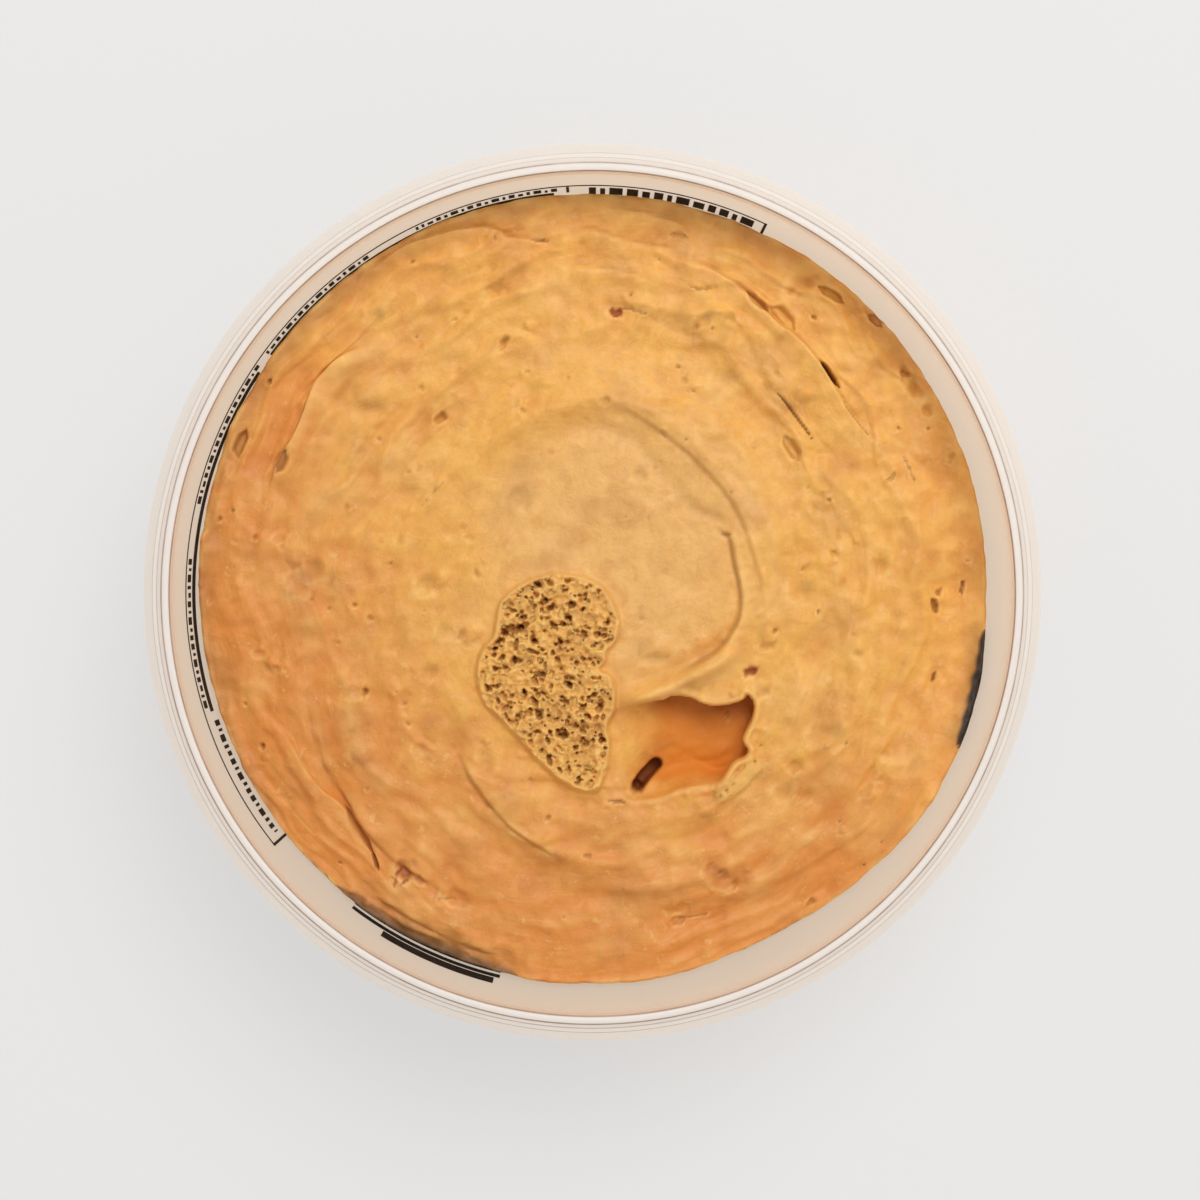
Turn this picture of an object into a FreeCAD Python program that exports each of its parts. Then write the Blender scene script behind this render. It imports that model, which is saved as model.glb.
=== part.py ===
"""Round plastic tub filled with a soft cheese spread, lid off.

Two solids that meet face to face: the moulded tub and the spread in it.
Millimetres, +Z up, origin at the centre of the foot ring's underside.
The relief of the spread is worked out from the named sizes in SIZES and from
the arcs in SWIRLS, in the same frame as the tub.
"""
import FreeCAD, Part
import math
import os

import Sketcher
from FreeCAD import Placement, Rotation, Vector

# ---------------------------------------------------------------- sizes
SIZES = [
    # moulded tub
    ("tub_height", 46.0),       # foot to the top of the lip
    ("lip_bore", 54.4),         # radius inside the lip
    ("lip_width", 0.85),        # crown of the lip, before its rounding
    ("lip_depth", 1.2),         # thickness of the lip over the skirt
    ("lip_round", 0.35),        # rounding of the lip's two edges
    ("seal_depth", 1.0),        # straight band inside the lip
    ("seal_step", 0.25),        # how far the wall stands in under that band
    ("wall_slope", 0.176),      # run of the wall inwards for each mm down
    ("wall_thick", 0.9),
    ("floor_thick", 1.1),
    ("foot_rise", 1.2),         # recess of the floor over the foot ring
    ("foot_width", 3.2),
    ("heel_round", 1.4),        # outer rounding between wall and foot
    ("inside_round", 3.0),      # inner rounding between wall and floor
    # skirt that holds the lid
    ("skirt_gap", 0.3),         # from the wall to the skirt under the lip
    ("skirt_thick", 0.8),
    ("skirt_lean", 1.1),        # outward lean of its upper band
    ("ledge_drop", 2.6),        # lip top to the ledge on the skirt
    ("ledge_width", 0.6),
    ("skirt_flare", 1.3),       # outward lean below the ledge
    ("skirt_drop", 6.2),        # lip top to the skirt's lower edge
    ("hem_width", 0.4),         # turned-out lower edge
    ("hem_height", 0.8),
    ("hem_blend", 0.4),         # rise from the hem back to the skirt
    # cheese spread
    ("fill_drop", 10.8),        # lip top to the spread at the wall
    ("fill_tilt", 0.4),         # rise of that level towards +Y, fall towards -Y
    ("crown_rise", 1.5),        # soft dome of the spread at its middle
    ("torn_rise", 1.8),         # height of the torn patch over the dome
    ("torn_edge", 1.5),         # run of its edge
    ("hollow_long", 9.6),       # half lengths of the scooped hollow
    ("hollow_wide", 7.4),
    ("hollow_deep", 4.6),
    ("hollow_lift", 0.4),       # its centre over the spread's level at the wall
    ("hollow_at_x", 12.9),
    ("hollow_at_y", -21.3),
    ("hollow_turn", 12.0),
    ("slot_long", 2.9),         # half lengths of the slot in the hollow's floor
    ("slot_wide", 0.75),
    ("slot_deep", 1.8),
    ("slot_drop", 3.3),         # its centre under the hollow's
    ("slot_at_x", 7.3),
    ("slot_at_y", -24.3),
    ("slot_turn", 40.0),
    # fineness of the relief
    ("relief_pitch", 1.6),
    ("relief_margin", 2.0),
]

# Ridges (rise > 0) and creases (rise < 0) of the swirled surface, each an arc:
# centre x, centre y, radius, first angle, last angle, rise, half width
SWIRLS = [
    (0.5, 6.0, 20.0, -78.0, 171.0, 1.5, 2.0),       # rim of the calm middle
    (0.5, 4.0, 23.8, -5.0, 58.0, 1.1, 1.7),         # second rim beside it
    (0.5, 5.0, 28.5, 20.0, 100.0, -0.7, 2.4),       # trough outside both rims
    (14.0, -4.0, 35.0, 206.0, 282.0, 1.1, 2.2),     # drag under the hollow
    (12.0, -2.0, 40.5, 208.0, 300.0, -0.8, 2.2),    # trough of that drag
    (-20.0, 14.0, 20.4, 105.0, 178.0, 1.4, 2.0),    # ridge on the left
    (-18.0, 12.0, 25.5, 118.0, 182.0, -0.8, 1.8),   # trough beyond it
    (0.0, -12.0, 36.8, 190.0, 224.0, -1.0, 1.8),    # crease at lower left
    (10.0, 8.0, 33.0, -62.0, 18.0, 0.9, 2.4),       # broad ridge on the right
    (6.0, 4.0, 42.0, -48.0, 30.0, -0.7, 2.6),       # trough beyond that one
    (24.0, 31.0, 8.0, 205.0, 330.0, -0.9, 1.6),     # blister's lower edge
]

# Lobes of the torn patch: centre x, centre y, half length along X and along Y
TORN_LOBES = [
    (-5.2, -5.6, 8.2, 7.8),
    (-6.8, -17.6, 7.8, 8.4),
]

NODES = ["tub", "cheese"]


# ---------------------------------------------------------------- document
def new_sheet(doc):
    """Spreadsheet with one row and one alias for each named size."""
    sheet = doc.addObject("Spreadsheet::Sheet", "Sizes")
    for row, (alias, value) in enumerate(SIZES, start=1):
        sheet.set(f"A{row}", alias)
        sheet.set(f"B{row}", str(value))
        sheet.setAlias(f"B{row}", alias)
    doc.recompute()
    return sheet


def size(sheet, alias):
    """Value of a named size as a plain number."""
    return float(sheet.get(alias))


def origin_plane(body, role):
    """The body's own datum plane that has this role."""
    return [item for item in body.Origin.OriginFeatures if item.Role == role][0]


def corner_sketch(body, name, corners):
    """Closed outline in the XZ plane, each corner held at its own formulas.

    corners is a list of (radius formula, height formula) read from the sheet.
    """
    sketch = body.newObject("Sketcher::SketchObject", name)
    sketch.AttachmentSupport = (origin_plane(body, "XZ_Plane"), [""])
    sketch.MapMode = "FlatFace"
    places = []
    for radius, height in corners:
        places.append(Vector(sketch.evalExpression(radius), sketch.evalExpression(height), 0))
    count = len(places)
    for index in range(count):
        following = (index + 1) % count
        sketch.addGeometry(Part.LineSegment(places[index], places[following]), False)
    for index in range(count):
        following = (index + 1) % count
        sketch.addConstraint(Sketcher.Constraint("Coincident", index, 2, following, 1))
    for index, (radius, height) in enumerate(corners):
        hold_corner(sketch, index, "DistanceX", -2, radius, places[index].x)
        hold_corner(sketch, index, "DistanceY", -1, height, places[index].y)
    return sketch


def hold_corner(sketch, index, kind, axis, formula, value):
    """Ties one coordinate of a corner to its formula, or to the axis at zero."""
    if formula == "0":
        sketch.addConstraint(Sketcher.Constraint("PointOnObject", index, 1, axis))
        return
    held = sketch.addConstraint(Sketcher.Constraint(kind, -1, 1, index, 1, value))
    sketch.setExpression(f"Constraints[{held}]", formula)


def revolve(body, sketch, name):
    """Full turn of a sketch about the upright axis."""
    turned = body.newObject("PartDesign::Revolution", name)
    turned.Profile = sketch
    turned.ReferenceAxis = (sketch, ["V_Axis"])
    turned.Angle = 360.0
    return turned


def ring_edges(shape, wanted):
    """Names of the circular edges at the given (radius, height) pairs."""
    names = []
    for number, edge in enumerate(shape.Edges, start=1):
        if not isinstance(edge.Curve, Part.Circle):
            continue
        for radius, height in wanted:
            near_radius = abs(edge.Curve.Radius - radius) < 0.01
            near_height = abs(edge.Curve.Center.z - height) < 0.01
            if near_radius and near_height:
                names.append(f"Edge{number}")
    if len(names) != len(wanted):
        raise RuntimeError(f"{len(names)} ring edges found, {len(wanted)} wanted")
    return names


def round_edges(doc, body, name, base, wanted, radius_formula):
    """Fillet on ring edges of the base feature, its radius tied to the sheet."""
    doc.recompute()
    rounded = body.newObject("PartDesign::Fillet", name)
    rounded.Base = (base, ring_edges(base.Shape, wanted))
    rounded.setExpression("Radius", radius_formula)
    doc.recompute()
    return rounded


# ---------------------------------------------------------------- tub
def wall_inside(height):
    """Formula for the inner wall's radius at a height formula."""
    return f"Sizes.lip_bore - Sizes.seal_step - Sizes.wall_slope * (Sizes.tub_height - ({height}))"


FLOOR = "Sizes.foot_rise + Sizes.floor_thick"
LIP_UNDER = "Sizes.tub_height - Sizes.lip_depth"
LIP_OUTER = "Sizes.lip_bore + Sizes.lip_width"
LEDGE_TOP = "Sizes.tub_height - Sizes.ledge_drop"
SKIRT_BOTTOM = "Sizes.tub_height - Sizes.skirt_drop"
LEDGE_INNER = f"{LIP_OUTER} + Sizes.skirt_lean"
LEDGE_OUTER = f"{LEDGE_INNER} + Sizes.ledge_width"
SKIRT_OUTER = f"{LEDGE_OUTER} + Sizes.skirt_flare"
BASE_OUTER = f"{wall_inside('0')} + Sizes.wall_thick"


def make_tub(doc):
    """Thin moulded tub: foot ring, sloping wall, lip and stepped skirt."""
    body = doc.addObject("PartDesign::Body", "Tub")
    skirt_inner = "- Sizes.skirt_thick"
    corners = [
        ("0", "Sizes.foot_rise"),
        (f"{BASE_OUTER} - Sizes.foot_width", "Sizes.foot_rise"),
        (f"{BASE_OUTER} - Sizes.foot_width", "0"),
        (BASE_OUTER, "0"),
        (f"{wall_inside(LIP_UNDER)} + Sizes.wall_thick", LIP_UNDER),
        (f"{wall_inside(LIP_UNDER)} + Sizes.wall_thick + Sizes.skirt_gap", LIP_UNDER),
        (f"{LEDGE_INNER} {skirt_inner}", f"{LEDGE_TOP} - Sizes.skirt_thick"),
        (f"{LEDGE_OUTER} {skirt_inner}", f"{LEDGE_TOP} - Sizes.skirt_thick"),
        (f"{SKIRT_OUTER} {skirt_inner}", SKIRT_BOTTOM),
        (f"{SKIRT_OUTER} + Sizes.hem_width", SKIRT_BOTTOM),
        (f"{SKIRT_OUTER} + Sizes.hem_width", f"{SKIRT_BOTTOM} + Sizes.hem_height"),
        (f"{SKIRT_OUTER}", f"{SKIRT_BOTTOM} + Sizes.hem_height + Sizes.hem_blend"),
        (LEDGE_OUTER, LEDGE_TOP),
        (LEDGE_INNER, LEDGE_TOP),
        (LIP_OUTER, "Sizes.tub_height"),
        ("Sizes.lip_bore", "Sizes.tub_height"),
        ("Sizes.lip_bore", "Sizes.tub_height - Sizes.seal_depth"),
        (wall_inside("Sizes.tub_height - Sizes.seal_depth"), "Sizes.tub_height - Sizes.seal_depth"),
        (wall_inside(FLOOR), FLOOR),
        ("0", FLOOR),
    ]
    outline = corner_sketch(body, "TubOutline", corners)
    doc.recompute()
    turned = revolve(body, outline, "TubTurned")
    value = turned.evalExpression
    tub_height = value("Sizes.tub_height")
    lip_rings = [(value("Sizes.lip_bore"), tub_height), (value(LIP_OUTER), tub_height)]
    lip = round_edges(doc, body, "LipRound", turned, lip_rings, "Sizes.lip_round")
    heel = round_edges(doc, body, "HeelRound", lip, [(value(BASE_OUTER), 0)], "Sizes.heel_round")
    floor_ring = [(value(wall_inside(FLOOR)), value(FLOOR))]
    inside = round_edges(doc, body, "InsideRound", heel, floor_ring, "Sizes.inside_round")
    body.Tip = inside
    body.Label = "tub"
    return body


# ---------------------------------------------------------------- cheese
def make_fill_space(doc):
    """The inside of the tub from its floor to the foot of the seal band."""
    body = doc.addObject("PartDesign::Body", "FillSpace")
    top = "Sizes.tub_height - Sizes.seal_depth"
    corners = [
        ("0", FLOOR),
        (wall_inside(FLOOR), FLOOR),
        (wall_inside(top), top),
        ("0", top),
    ]
    outline = corner_sketch(body, "FillOutline", corners)
    doc.recompute()
    turned = revolve(body, outline, "FillTurned")
    value = turned.evalExpression
    floor_ring = [(value(wall_inside(FLOOR)), value(FLOOR))]
    body.Tip = round_edges(doc, body, "FillRound", turned, floor_ring, "Sizes.inside_round")
    body.Label = "fill_space"
    return body


def arc_distance(east, north, arc):
    """Distance from a point to an arc, its round ends included."""
    centre_x, centre_y, radius, first, last = arc[:5]
    angle = math.degrees(math.atan2(north - centre_y, east - centre_x))
    turned = (angle - first) % 360.0
    if turned <= last - first:
        return abs(math.hypot(east - centre_x, north - centre_y) - radius)
    ends = []
    for end in (first, last):
        end_x = centre_x + radius * math.cos(math.radians(end))
        end_y = centre_y + radius * math.sin(math.radians(end))
        ends.append(math.hypot(east - end_x, north - end_y))
    return min(ends)


def soft_step(value):
    """Smooth rise from 0 to 1."""
    bounded = min(1.0, max(0.0, value))
    return bounded * bounded * (3.0 - 2.0 * bounded)


def torn_share(sheet, east, north):
    """1 on the torn patch, 0 off it, with the named run at its edge."""
    reach = -1000.0
    for centre_x, centre_y, half_x, half_y in TORN_LOBES:
        share = math.hypot((east - centre_x) / half_x, (north - centre_y) / half_y)
        reach = max(reach, (1.0 - share) * min(half_x, half_y))
    return soft_step(reach / size(sheet, "torn_edge") + 0.5)


def relief_height(sheet, east, north):
    """Height of the spread's surface at a place."""
    rim = size(sheet, "lip_bore")
    share = min(1.0, math.hypot(east, north) / rim)
    height = size(sheet, "tub_height") - size(sheet, "fill_drop")
    height += size(sheet, "fill_tilt") * north / rim
    height += size(sheet, "crown_rise") * (1.0 - share ** 3)
    for arc in SWIRLS:
        rise, half_width = arc[5:]
        away = arc_distance(east, north, arc) / half_width
        height += rise * math.exp(-away * away)
    return height + size(sheet, "torn_rise") * torn_share(sheet, east, north)


def make_relief(doc, sheet):
    """Block whose top is the swirled surface, wider than the tub."""
    half = size(sheet, "lip_bore") + size(sheet, "relief_margin")
    steps = math.ceil(2.0 * half / size(sheet, "relief_pitch"))
    pitch = 2.0 * half / steps
    rows = []
    for row in range(steps + 1):
        north = -half + row * pitch
        places = []
        for column in range(steps + 1):
            east = -half + column * pitch
            places.append(Vector(east, north, relief_height(sheet, east, north)))
        rows.append(places)
    surface = Part.BSplineSurface()
    surface.interpolate(rows)
    depth = size(sheet, "tub_height")
    block = surface.toShape().extrude(Vector(0, 0, -depth))
    if block.Volume < 0:
        block.reverse()
    relief = doc.addObject("Part::Feature", "Relief")
    relief.Shape = block
    relief.Placement = Placement()
    relief.Label = "relief"
    return relief


def make_scoop(doc, name):
    """Ellipsoid whose half lengths, place and turn carry this name's sizes."""
    word = name.lower()
    scoop = doc.addObject("Part::Ellipsoid", name)
    scoop.setExpression("Radius1", f"Sizes.{word}_deep")
    scoop.setExpression("Radius2", f"Sizes.{word}_long")
    scoop.setExpression("Radius3", f"Sizes.{word}_wide")
    scoop.Placement = Placement(Vector(), Rotation(Vector(0, 0, 1), 0.0))
    scoop.setExpression("Placement.Base.x", f"Sizes.{word}_at_x")
    scoop.setExpression("Placement.Base.y", f"Sizes.{word}_at_y")
    scoop.setExpression("Placement.Rotation.Angle", f"Sizes.{word}_turn")
    return scoop


def make_cheese(doc, sheet):
    """The spread: what fills the tub under the relief, less its hollow."""
    filled = doc.addObject("Part::Common", "Filled")
    filled.Base = make_fill_space(doc)
    filled.Tool = make_relief(doc, sheet)

    level = "Sizes.tub_height - Sizes.fill_drop + Sizes.hollow_lift"
    hollow = make_scoop(doc, "Hollow")
    hollow.setExpression("Placement.Base.z", level)
    scooped = doc.addObject("Part::Cut", "Scooped")
    scooped.Base = filled
    scooped.Tool = hollow

    slot = make_scoop(doc, "Slot")
    slot.setExpression("Placement.Base.z", f"{level} - Sizes.slot_drop")
    cheese = doc.addObject("Part::Cut", "Cheese")
    cheese.Base = scooped
    cheese.Tool = slot
    cheese.Label = "cheese"
    return cheese


# ---------------------------------------------------------------- checks and files
def check_document(doc):
    """Stops if any object failed or any solid is empty or not valid."""
    for item in doc.Objects:
        bad = [word for word in item.State if word in ("Invalid", "Error")]
        if bad:
            raise RuntimeError(f"{item.Name} is {bad}")
    for name in NODES:
        shape = doc.getObjectsByLabel(name)[0].Shape
        if shape.isNull() or not shape.isValid() or len(shape.Solids) != 1:
            raise RuntimeError(f"{name} isn't one valid solid")


def main():
    doc = FreeCAD.newDocument("cheese_tub")
    sheet = new_sheet(doc)
    make_tub(doc)
    make_cheese(doc, sheet)
    doc.recompute()
    check_document(doc)
    os.makedirs("parts", exist_ok=True)
    for name in NODES:
        shape = doc.getObjectsByLabel(name)[0].Shape
        shape.exportStep(f"parts/{name}.step")
        box = shape.BoundBox
        print(f"{name}: {shape.Volume / 1000:.2f} cm3, radius {box.XMax:.2f}, "
              f"height {box.ZMin:.2f} to {box.ZMax:.2f}, {len(shape.Faces)} faces")


main()
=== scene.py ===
"""Looks of a round plastic tub filled with a soft cheese spread, lid off.

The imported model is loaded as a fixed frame. The tub is turned ring by ring
from its section, the spread is a fine grid pressed and pulled into its swirls,
torn patch and hollow, and the print is a thin skin bitten into the wall.
Lengths in this file are millimetres unless a name says metres.
"""

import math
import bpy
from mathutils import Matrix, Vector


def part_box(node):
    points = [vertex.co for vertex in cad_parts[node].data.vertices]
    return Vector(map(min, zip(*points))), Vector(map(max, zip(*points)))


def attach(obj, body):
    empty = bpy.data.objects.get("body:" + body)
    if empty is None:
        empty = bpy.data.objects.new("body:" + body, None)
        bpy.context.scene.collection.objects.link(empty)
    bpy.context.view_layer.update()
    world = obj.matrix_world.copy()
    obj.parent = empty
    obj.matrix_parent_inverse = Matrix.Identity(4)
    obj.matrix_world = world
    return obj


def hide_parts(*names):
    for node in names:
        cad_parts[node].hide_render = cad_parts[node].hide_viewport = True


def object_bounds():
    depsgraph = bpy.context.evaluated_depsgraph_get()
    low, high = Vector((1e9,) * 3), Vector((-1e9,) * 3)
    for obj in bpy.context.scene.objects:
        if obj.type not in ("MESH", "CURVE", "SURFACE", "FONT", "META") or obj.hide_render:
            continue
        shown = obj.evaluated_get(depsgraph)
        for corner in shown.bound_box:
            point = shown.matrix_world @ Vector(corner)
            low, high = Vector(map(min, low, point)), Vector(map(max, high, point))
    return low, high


bl_info = {
    "name": "Cheese Spread Tub",
    "version": (1, 0, 0),
    "blender": (4, 5, 0),
    "location": "View3D > Sidebar > Spread Tub",
    "description": "Builds the tub, the swirled spread and the print around the packed frame",
    "category": "Object",
}

import bpy
import numpy as np

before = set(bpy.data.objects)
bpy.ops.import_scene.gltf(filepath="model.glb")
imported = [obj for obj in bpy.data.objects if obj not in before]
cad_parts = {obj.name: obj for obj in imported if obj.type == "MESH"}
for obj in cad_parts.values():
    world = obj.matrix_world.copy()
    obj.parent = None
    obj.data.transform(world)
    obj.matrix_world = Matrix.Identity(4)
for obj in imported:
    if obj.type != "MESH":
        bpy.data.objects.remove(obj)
CAD_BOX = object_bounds()
TUB_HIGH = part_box("tub")[1]

MM = 0.001
WALL_STEPS = 288            # facets round the tub
GRID_SIDE = 200             # faces along one side of the spread's grid
LAMP_SIZE = 0.5             # metres across
LAMP_REACH = 0.8            # metres from the middle of the lip
LAMP_TURN = math.radians(66)
LAMP_RISE = math.radians(59)
AIM = (1.0, -0.47)          # point of the lip under the camera
TABLE_RADIUS = 1.6          # metres
SWIRL_SPAN = 70.0           # millimetres that a full swirl mark stands for
BUMP_DEPTH = 0.24           # skin texture of the spread
TUB_SHARP = math.radians(40)    # edges past this angle stay sharp
INK_SHARP = math.radians(30)
SHADE_LINE_HALF = 0.07            # half width of a line of painted shade on the skirt
INK_COLUMN = 0.8            # longest face along a patch of ink
INK_ROW = 2.0               # longest face down a patch of ink
PORE_COUNT = 460            # small pores tried over the torn crumb


# ------------------------------------------------------------ settings
def length(name, description, default):
    """A length in millimetres that the panel shows."""
    return bpy.props.FloatProperty(name=name, description=description + ", mm", default=default)


def colour(name, description, default):
    """A linear colour that the panel shows."""
    return bpy.props.FloatVectorProperty(
        name=name, description=description, default=default, subtype="COLOR", size=3, min=0, max=1
    )


def linear(red, green, blue):
    """Linear colour of an sRGB colour given from 0 to 255."""
    values = []
    for channel in (red, green, blue):
        share = channel / 255.0
        values.append(share / 12.92 if share <= 0.04045 else ((share + 0.055) / 1.055) ** 2.4)
    return tuple(values)


class TubSettings(bpy.types.PropertyGroup):
    """Section of the moulded tub."""
    height: length("Height", "Foot to lip", TUB_HIGH.z / MM)
    skirt_radius: length("Skirt radius", "Outer edge of the lid skirt", TUB_HIGH.x / MM)
    lip_width: length("Lip width", "Crown of the lip", 0.85)
    lip_round: length("Lip rounding", "Rounding of the lip's edges", 0.35)
    lip_depth: length("Lip depth", "Thickness of the lip over the skirt", 1.2)
    seal_depth: length("Seal band", "Straight band inside the lip", 1.0)
    seal_step: length("Seal step", "How far the wall stands in under the band", 0.25)
    wall_slope: length("Wall slope", "Run inwards for each millimetre down", 0.176)
    wall_thick: length("Wall", "Wall thickness", 0.9)
    floor_thick: length("Floor", "Floor thickness", 1.1)
    foot_rise: length("Foot recess", "Rise of the floor over the foot ring", 1.2)
    foot_width: length("Foot ring", "Width of the foot ring", 3.2)
    heel_round: length("Heel rounding", "Outer rounding at the foot", 1.4)
    inside_round: length("Inner rounding", "Rounding between wall and floor", 3.0)
    skirt_gap: length("Skirt gap", "Wall to skirt under the lip", 0.3)
    skirt_thick: length("Skirt thickness", "Thickness of the skirt", 0.8)
    skirt_lean: length("Skirt lean", "Outward lean of its upper band", 1.1)
    ledge_drop: length("Ledge drop", "Lip to the ledge on the skirt", 2.6)
    ledge_width: length("Ledge width", "Width of that ledge", 0.6)
    skirt_flare: length("Skirt flare", "Outward lean below the ledge", 1.3)
    skirt_drop: length("Skirt drop", "Lip to the skirt's lower edge", 6.2)
    hem_width: length("Hem", "Turned-out lower edge", 0.4)
    milk: colour("Milky plastic", "Body colour of the plastic", linear(238, 229, 216))
    skirt: colour("Skirt plastic", "Body colour of the lip and the skirt", linear(216, 214, 210))
    # Painted shade and painted reflection of the spread on the lip's seal band and groove, and painted
    # shade at the ledge's corners down the skirt.
    line: colour("Shaded line", "Tone of the fine lines round the lip", linear(178, 158, 146))
    ledge_shade: colour("Faint line", "Tone of the fine lines down the skirt", linear(214, 203, 196))
    milk_share: bpy.props.FloatProperty(
        name="Milkiness", description="Share of light the wall scatters", default=0.82,
        min=0, max=1, subtype="FACTOR")


class SpreadSettings(bpy.types.PropertyGroup):
    """Level, dome and colours of the cheese spread."""
    fill_drop: length("Fill drop", "Lip to the spread at the wall", 10.8)
    fill_tilt: length("Fill tilt", "Rise of that level towards +Y", 0.4)
    crown_rise: length("Crown", "Dome at the middle", 1.5)
    into_wall: length("Into the wall", "How far the spread reaches into the wall", 0.2)
    pale: colour("Pale spread", "Skin of the calm middle", linear(240, 187, 111))
    warm: colour("Warm spread", "Body of the spread", linear(243, 184, 90))
    # Painted shade: spread away from the lamp, in valleys and towards the wall is mixed towards this
    # deeper colour, with random deeper patches as well.
    deeper_and_shaded: colour("Ripe spread", "Deeper body towards the lower left", linear(228, 149, 71))
    deep: colour("Deep spread", "Freshly opened spread", linear(208, 128, 50))
    fresh: colour("Scooped spread", "Floor of the hollow", linear(226, 137, 43))
    # Painted shade in pits, slits, creases, holes and under the hollow's edge.
    dark: colour("Dark hollow", "Bottom of pits and slits", linear(128, 60, 8))
    stain: colour("Stain", "Reddish brown fleck", linear(160, 74, 34))
    # Painted highlight: fine glints.
    glint: colour("Glint", "Pale fine mottle", linear(250, 206, 130))
    wisp: colour("Wisp", "Pale drawn-out streaks", linear(251, 208, 130))
    # Painted highlight on crowns, lit rims and lit edges.
    crest_highlight: colour("Crest", "Thin edges and crowns of rolls", linear(250, 202, 124))
    crumb: colour("Crumb", "Body of the torn crumb", linear(238, 184, 100))
    gloom: colour("Gloom", "Low places and the shade of the print", linear(158, 108, 62))
    # Painted shade: the print and the dark gap by the wall, painted on the spread's thin edge.
    inked_shade: colour("Inked edge", "Print seen through the thin edge", linear(36, 32, 28))


class PrintSettings(bpy.types.PropertyGroup):
    """Ink on the outside of the wall."""
    proud: length("Proud", "How far the ink stands out of the wall", 0.04)
    bite: length("Bite", "How far the ink reaches into the wall", 0.06)
    ink: colour("Ink", "Flat black ink", linear(20, 16, 16))


class StageSettings(bpy.types.PropertyGroup):
    """Table, lights and camera."""
    camera_rise: length("Camera height", "Camera over the lip", 290.0)
    camera_tilt: bpy.props.FloatProperty(
        name="Camera tilt", description="Lean from straight down", default=math.radians(2.0),
        subtype="ANGLE")
    view_width: length("View width", "Width of the view at the lip", 153.9)
    table: colour("Table", "Colour of the table as the camera sees it", linear(233, 233, 233))
    key_power: bpy.props.FloatProperty(
        name="Key light", description="Power of the key light in watts", default=3.4, min=0)
    sky_power: bpy.props.FloatProperty(
        name="Sky", description="Strength of the even light", default=0.55, min=0)


# ------------------------------------------------------------ shader maths
class Term:
    """A shader socket that takes part in Python expressions."""

    def __init__(self, maker, socket):
        self.maker = maker
        self.socket = socket

    def _math(self, operation, first, second):
        return self.maker.node("ShaderNodeMath", {"operation": operation}, {0: first, 1: second})[0]

    def __add__(self, other):
        return self._math("ADD", self, other)

    __radd__ = __add__

    def __sub__(self, other):
        return self._math("SUBTRACT", self, other)

    def __rsub__(self, other):
        return self._math("SUBTRACT", other, self)

    def __mul__(self, other):
        return self._math("MULTIPLY", self, other)

    __rmul__ = __mul__

    def __truediv__(self, other):
        return self._math("DIVIDE", self, other)

    def __pow__(self, other):
        return self._math("POWER", self, other)


class Finish:
    """A material under construction."""

    def __init__(self, name):
        self.material = bpy.data.materials.new(name)
        self.material.use_nodes = True
        self.tree = self.material.node_tree
        self.tree.nodes.clear()

    @classmethod
    def of_tree(cls, tree):
        """Works on a node tree that is already there."""
        made = cls.__new__(cls)
        made.tree = tree
        tree.nodes.clear()
        return made

    def node(self, kind, settings=None, values=None):
        """Adds a node and returns its outputs as terms, in order."""
        made = self.tree.nodes.new(kind)
        for key, value in (settings or {}).items():
            setattr(made, key, value)
        for key, value in (values or {}).items():
            if isinstance(value, Term):
                self.tree.links.new(value.socket, made.inputs[key])
            else:
                made.inputs[key].default_value = value
        return [Term(self, socket) for socket in made.outputs if socket.enabled]

    def place(self):
        """Object coordinates in metres."""
        return self.node("ShaderNodeTexCoord")[3]

    def stretch(self, vector, scale):
        """Coordinates times a scale along each axis."""
        return self.node("ShaderNodeMapping", None, {"Vector": vector, "Scale": scale})[0]

    def split(self, vector):
        """The three coordinates of a vector."""
        return self.node("ShaderNodeSeparateXYZ", None, {0: vector})

    def join(self, x, y, z):
        """Vector from three values."""
        return self.node("ShaderNodeCombineXYZ", None, {0: x, 1: y, 2: z})[0]

    def noise(self, vector, scale, detail=2.0, rough=0.5, warp=0.0):
        """Noise from 0 to 1."""
        values = {"Vector": vector, "Scale": scale, "Detail": detail, "Roughness": rough,
                  "Distortion": warp}
        return self.node("ShaderNodeTexNoise", None, values)[0]

    def cells(self, vector, scale):
        """Distance inside the cells of a Voronoi pattern."""
        return self.node("ShaderNodeTexVoronoi", None, {"Vector": vector, "Scale": scale})[0]

    def band(self, value, low, high):
        """Smooth 0 to 1 as the value goes from low to high."""
        values = {"Value": value, "From Min": low, "From Max": high}
        return self.node("ShaderNodeMapRange", {"interpolation_type": "SMOOTHSTEP"}, values)[0]

    def mark(self, name):
        """A float attribute of the mesh."""
        return self.node("ShaderNodeAttribute", {"attribute_name": name})[2]

    def mix(self, factor, first, second):
        """Colour between two colours."""
        values = {0: factor}
        for key, tone in ((6, first), (7, second)):
            values[key] = tone if isinstance(tone, Term) else rgba(tone)
        return self.node("ShaderNodeMix", {"data_type": "RGBA"}, values)[0]

    def bump(self, height, strength, distance):
        """Normal from a height in millimetres times the distance."""
        return self.node("ShaderNodeBump", None, {
            "Height": height, "Strength": strength, "Distance": distance * MM})[0]

    def blend(self, factor, first, second):
        """Mix Shader."""
        return self.node("ShaderNodeMixShader", None, {0: factor, 1: first, 2: second})[0]

    def output(self, shader):
        """Ends the material with its surface."""
        self.node("ShaderNodeOutputMaterial", None, {"Surface": shader})
        return self.material


def rgba(values):
    """Opaque colour of three values."""
    return tuple(values)[:3] + (1.0,)


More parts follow.
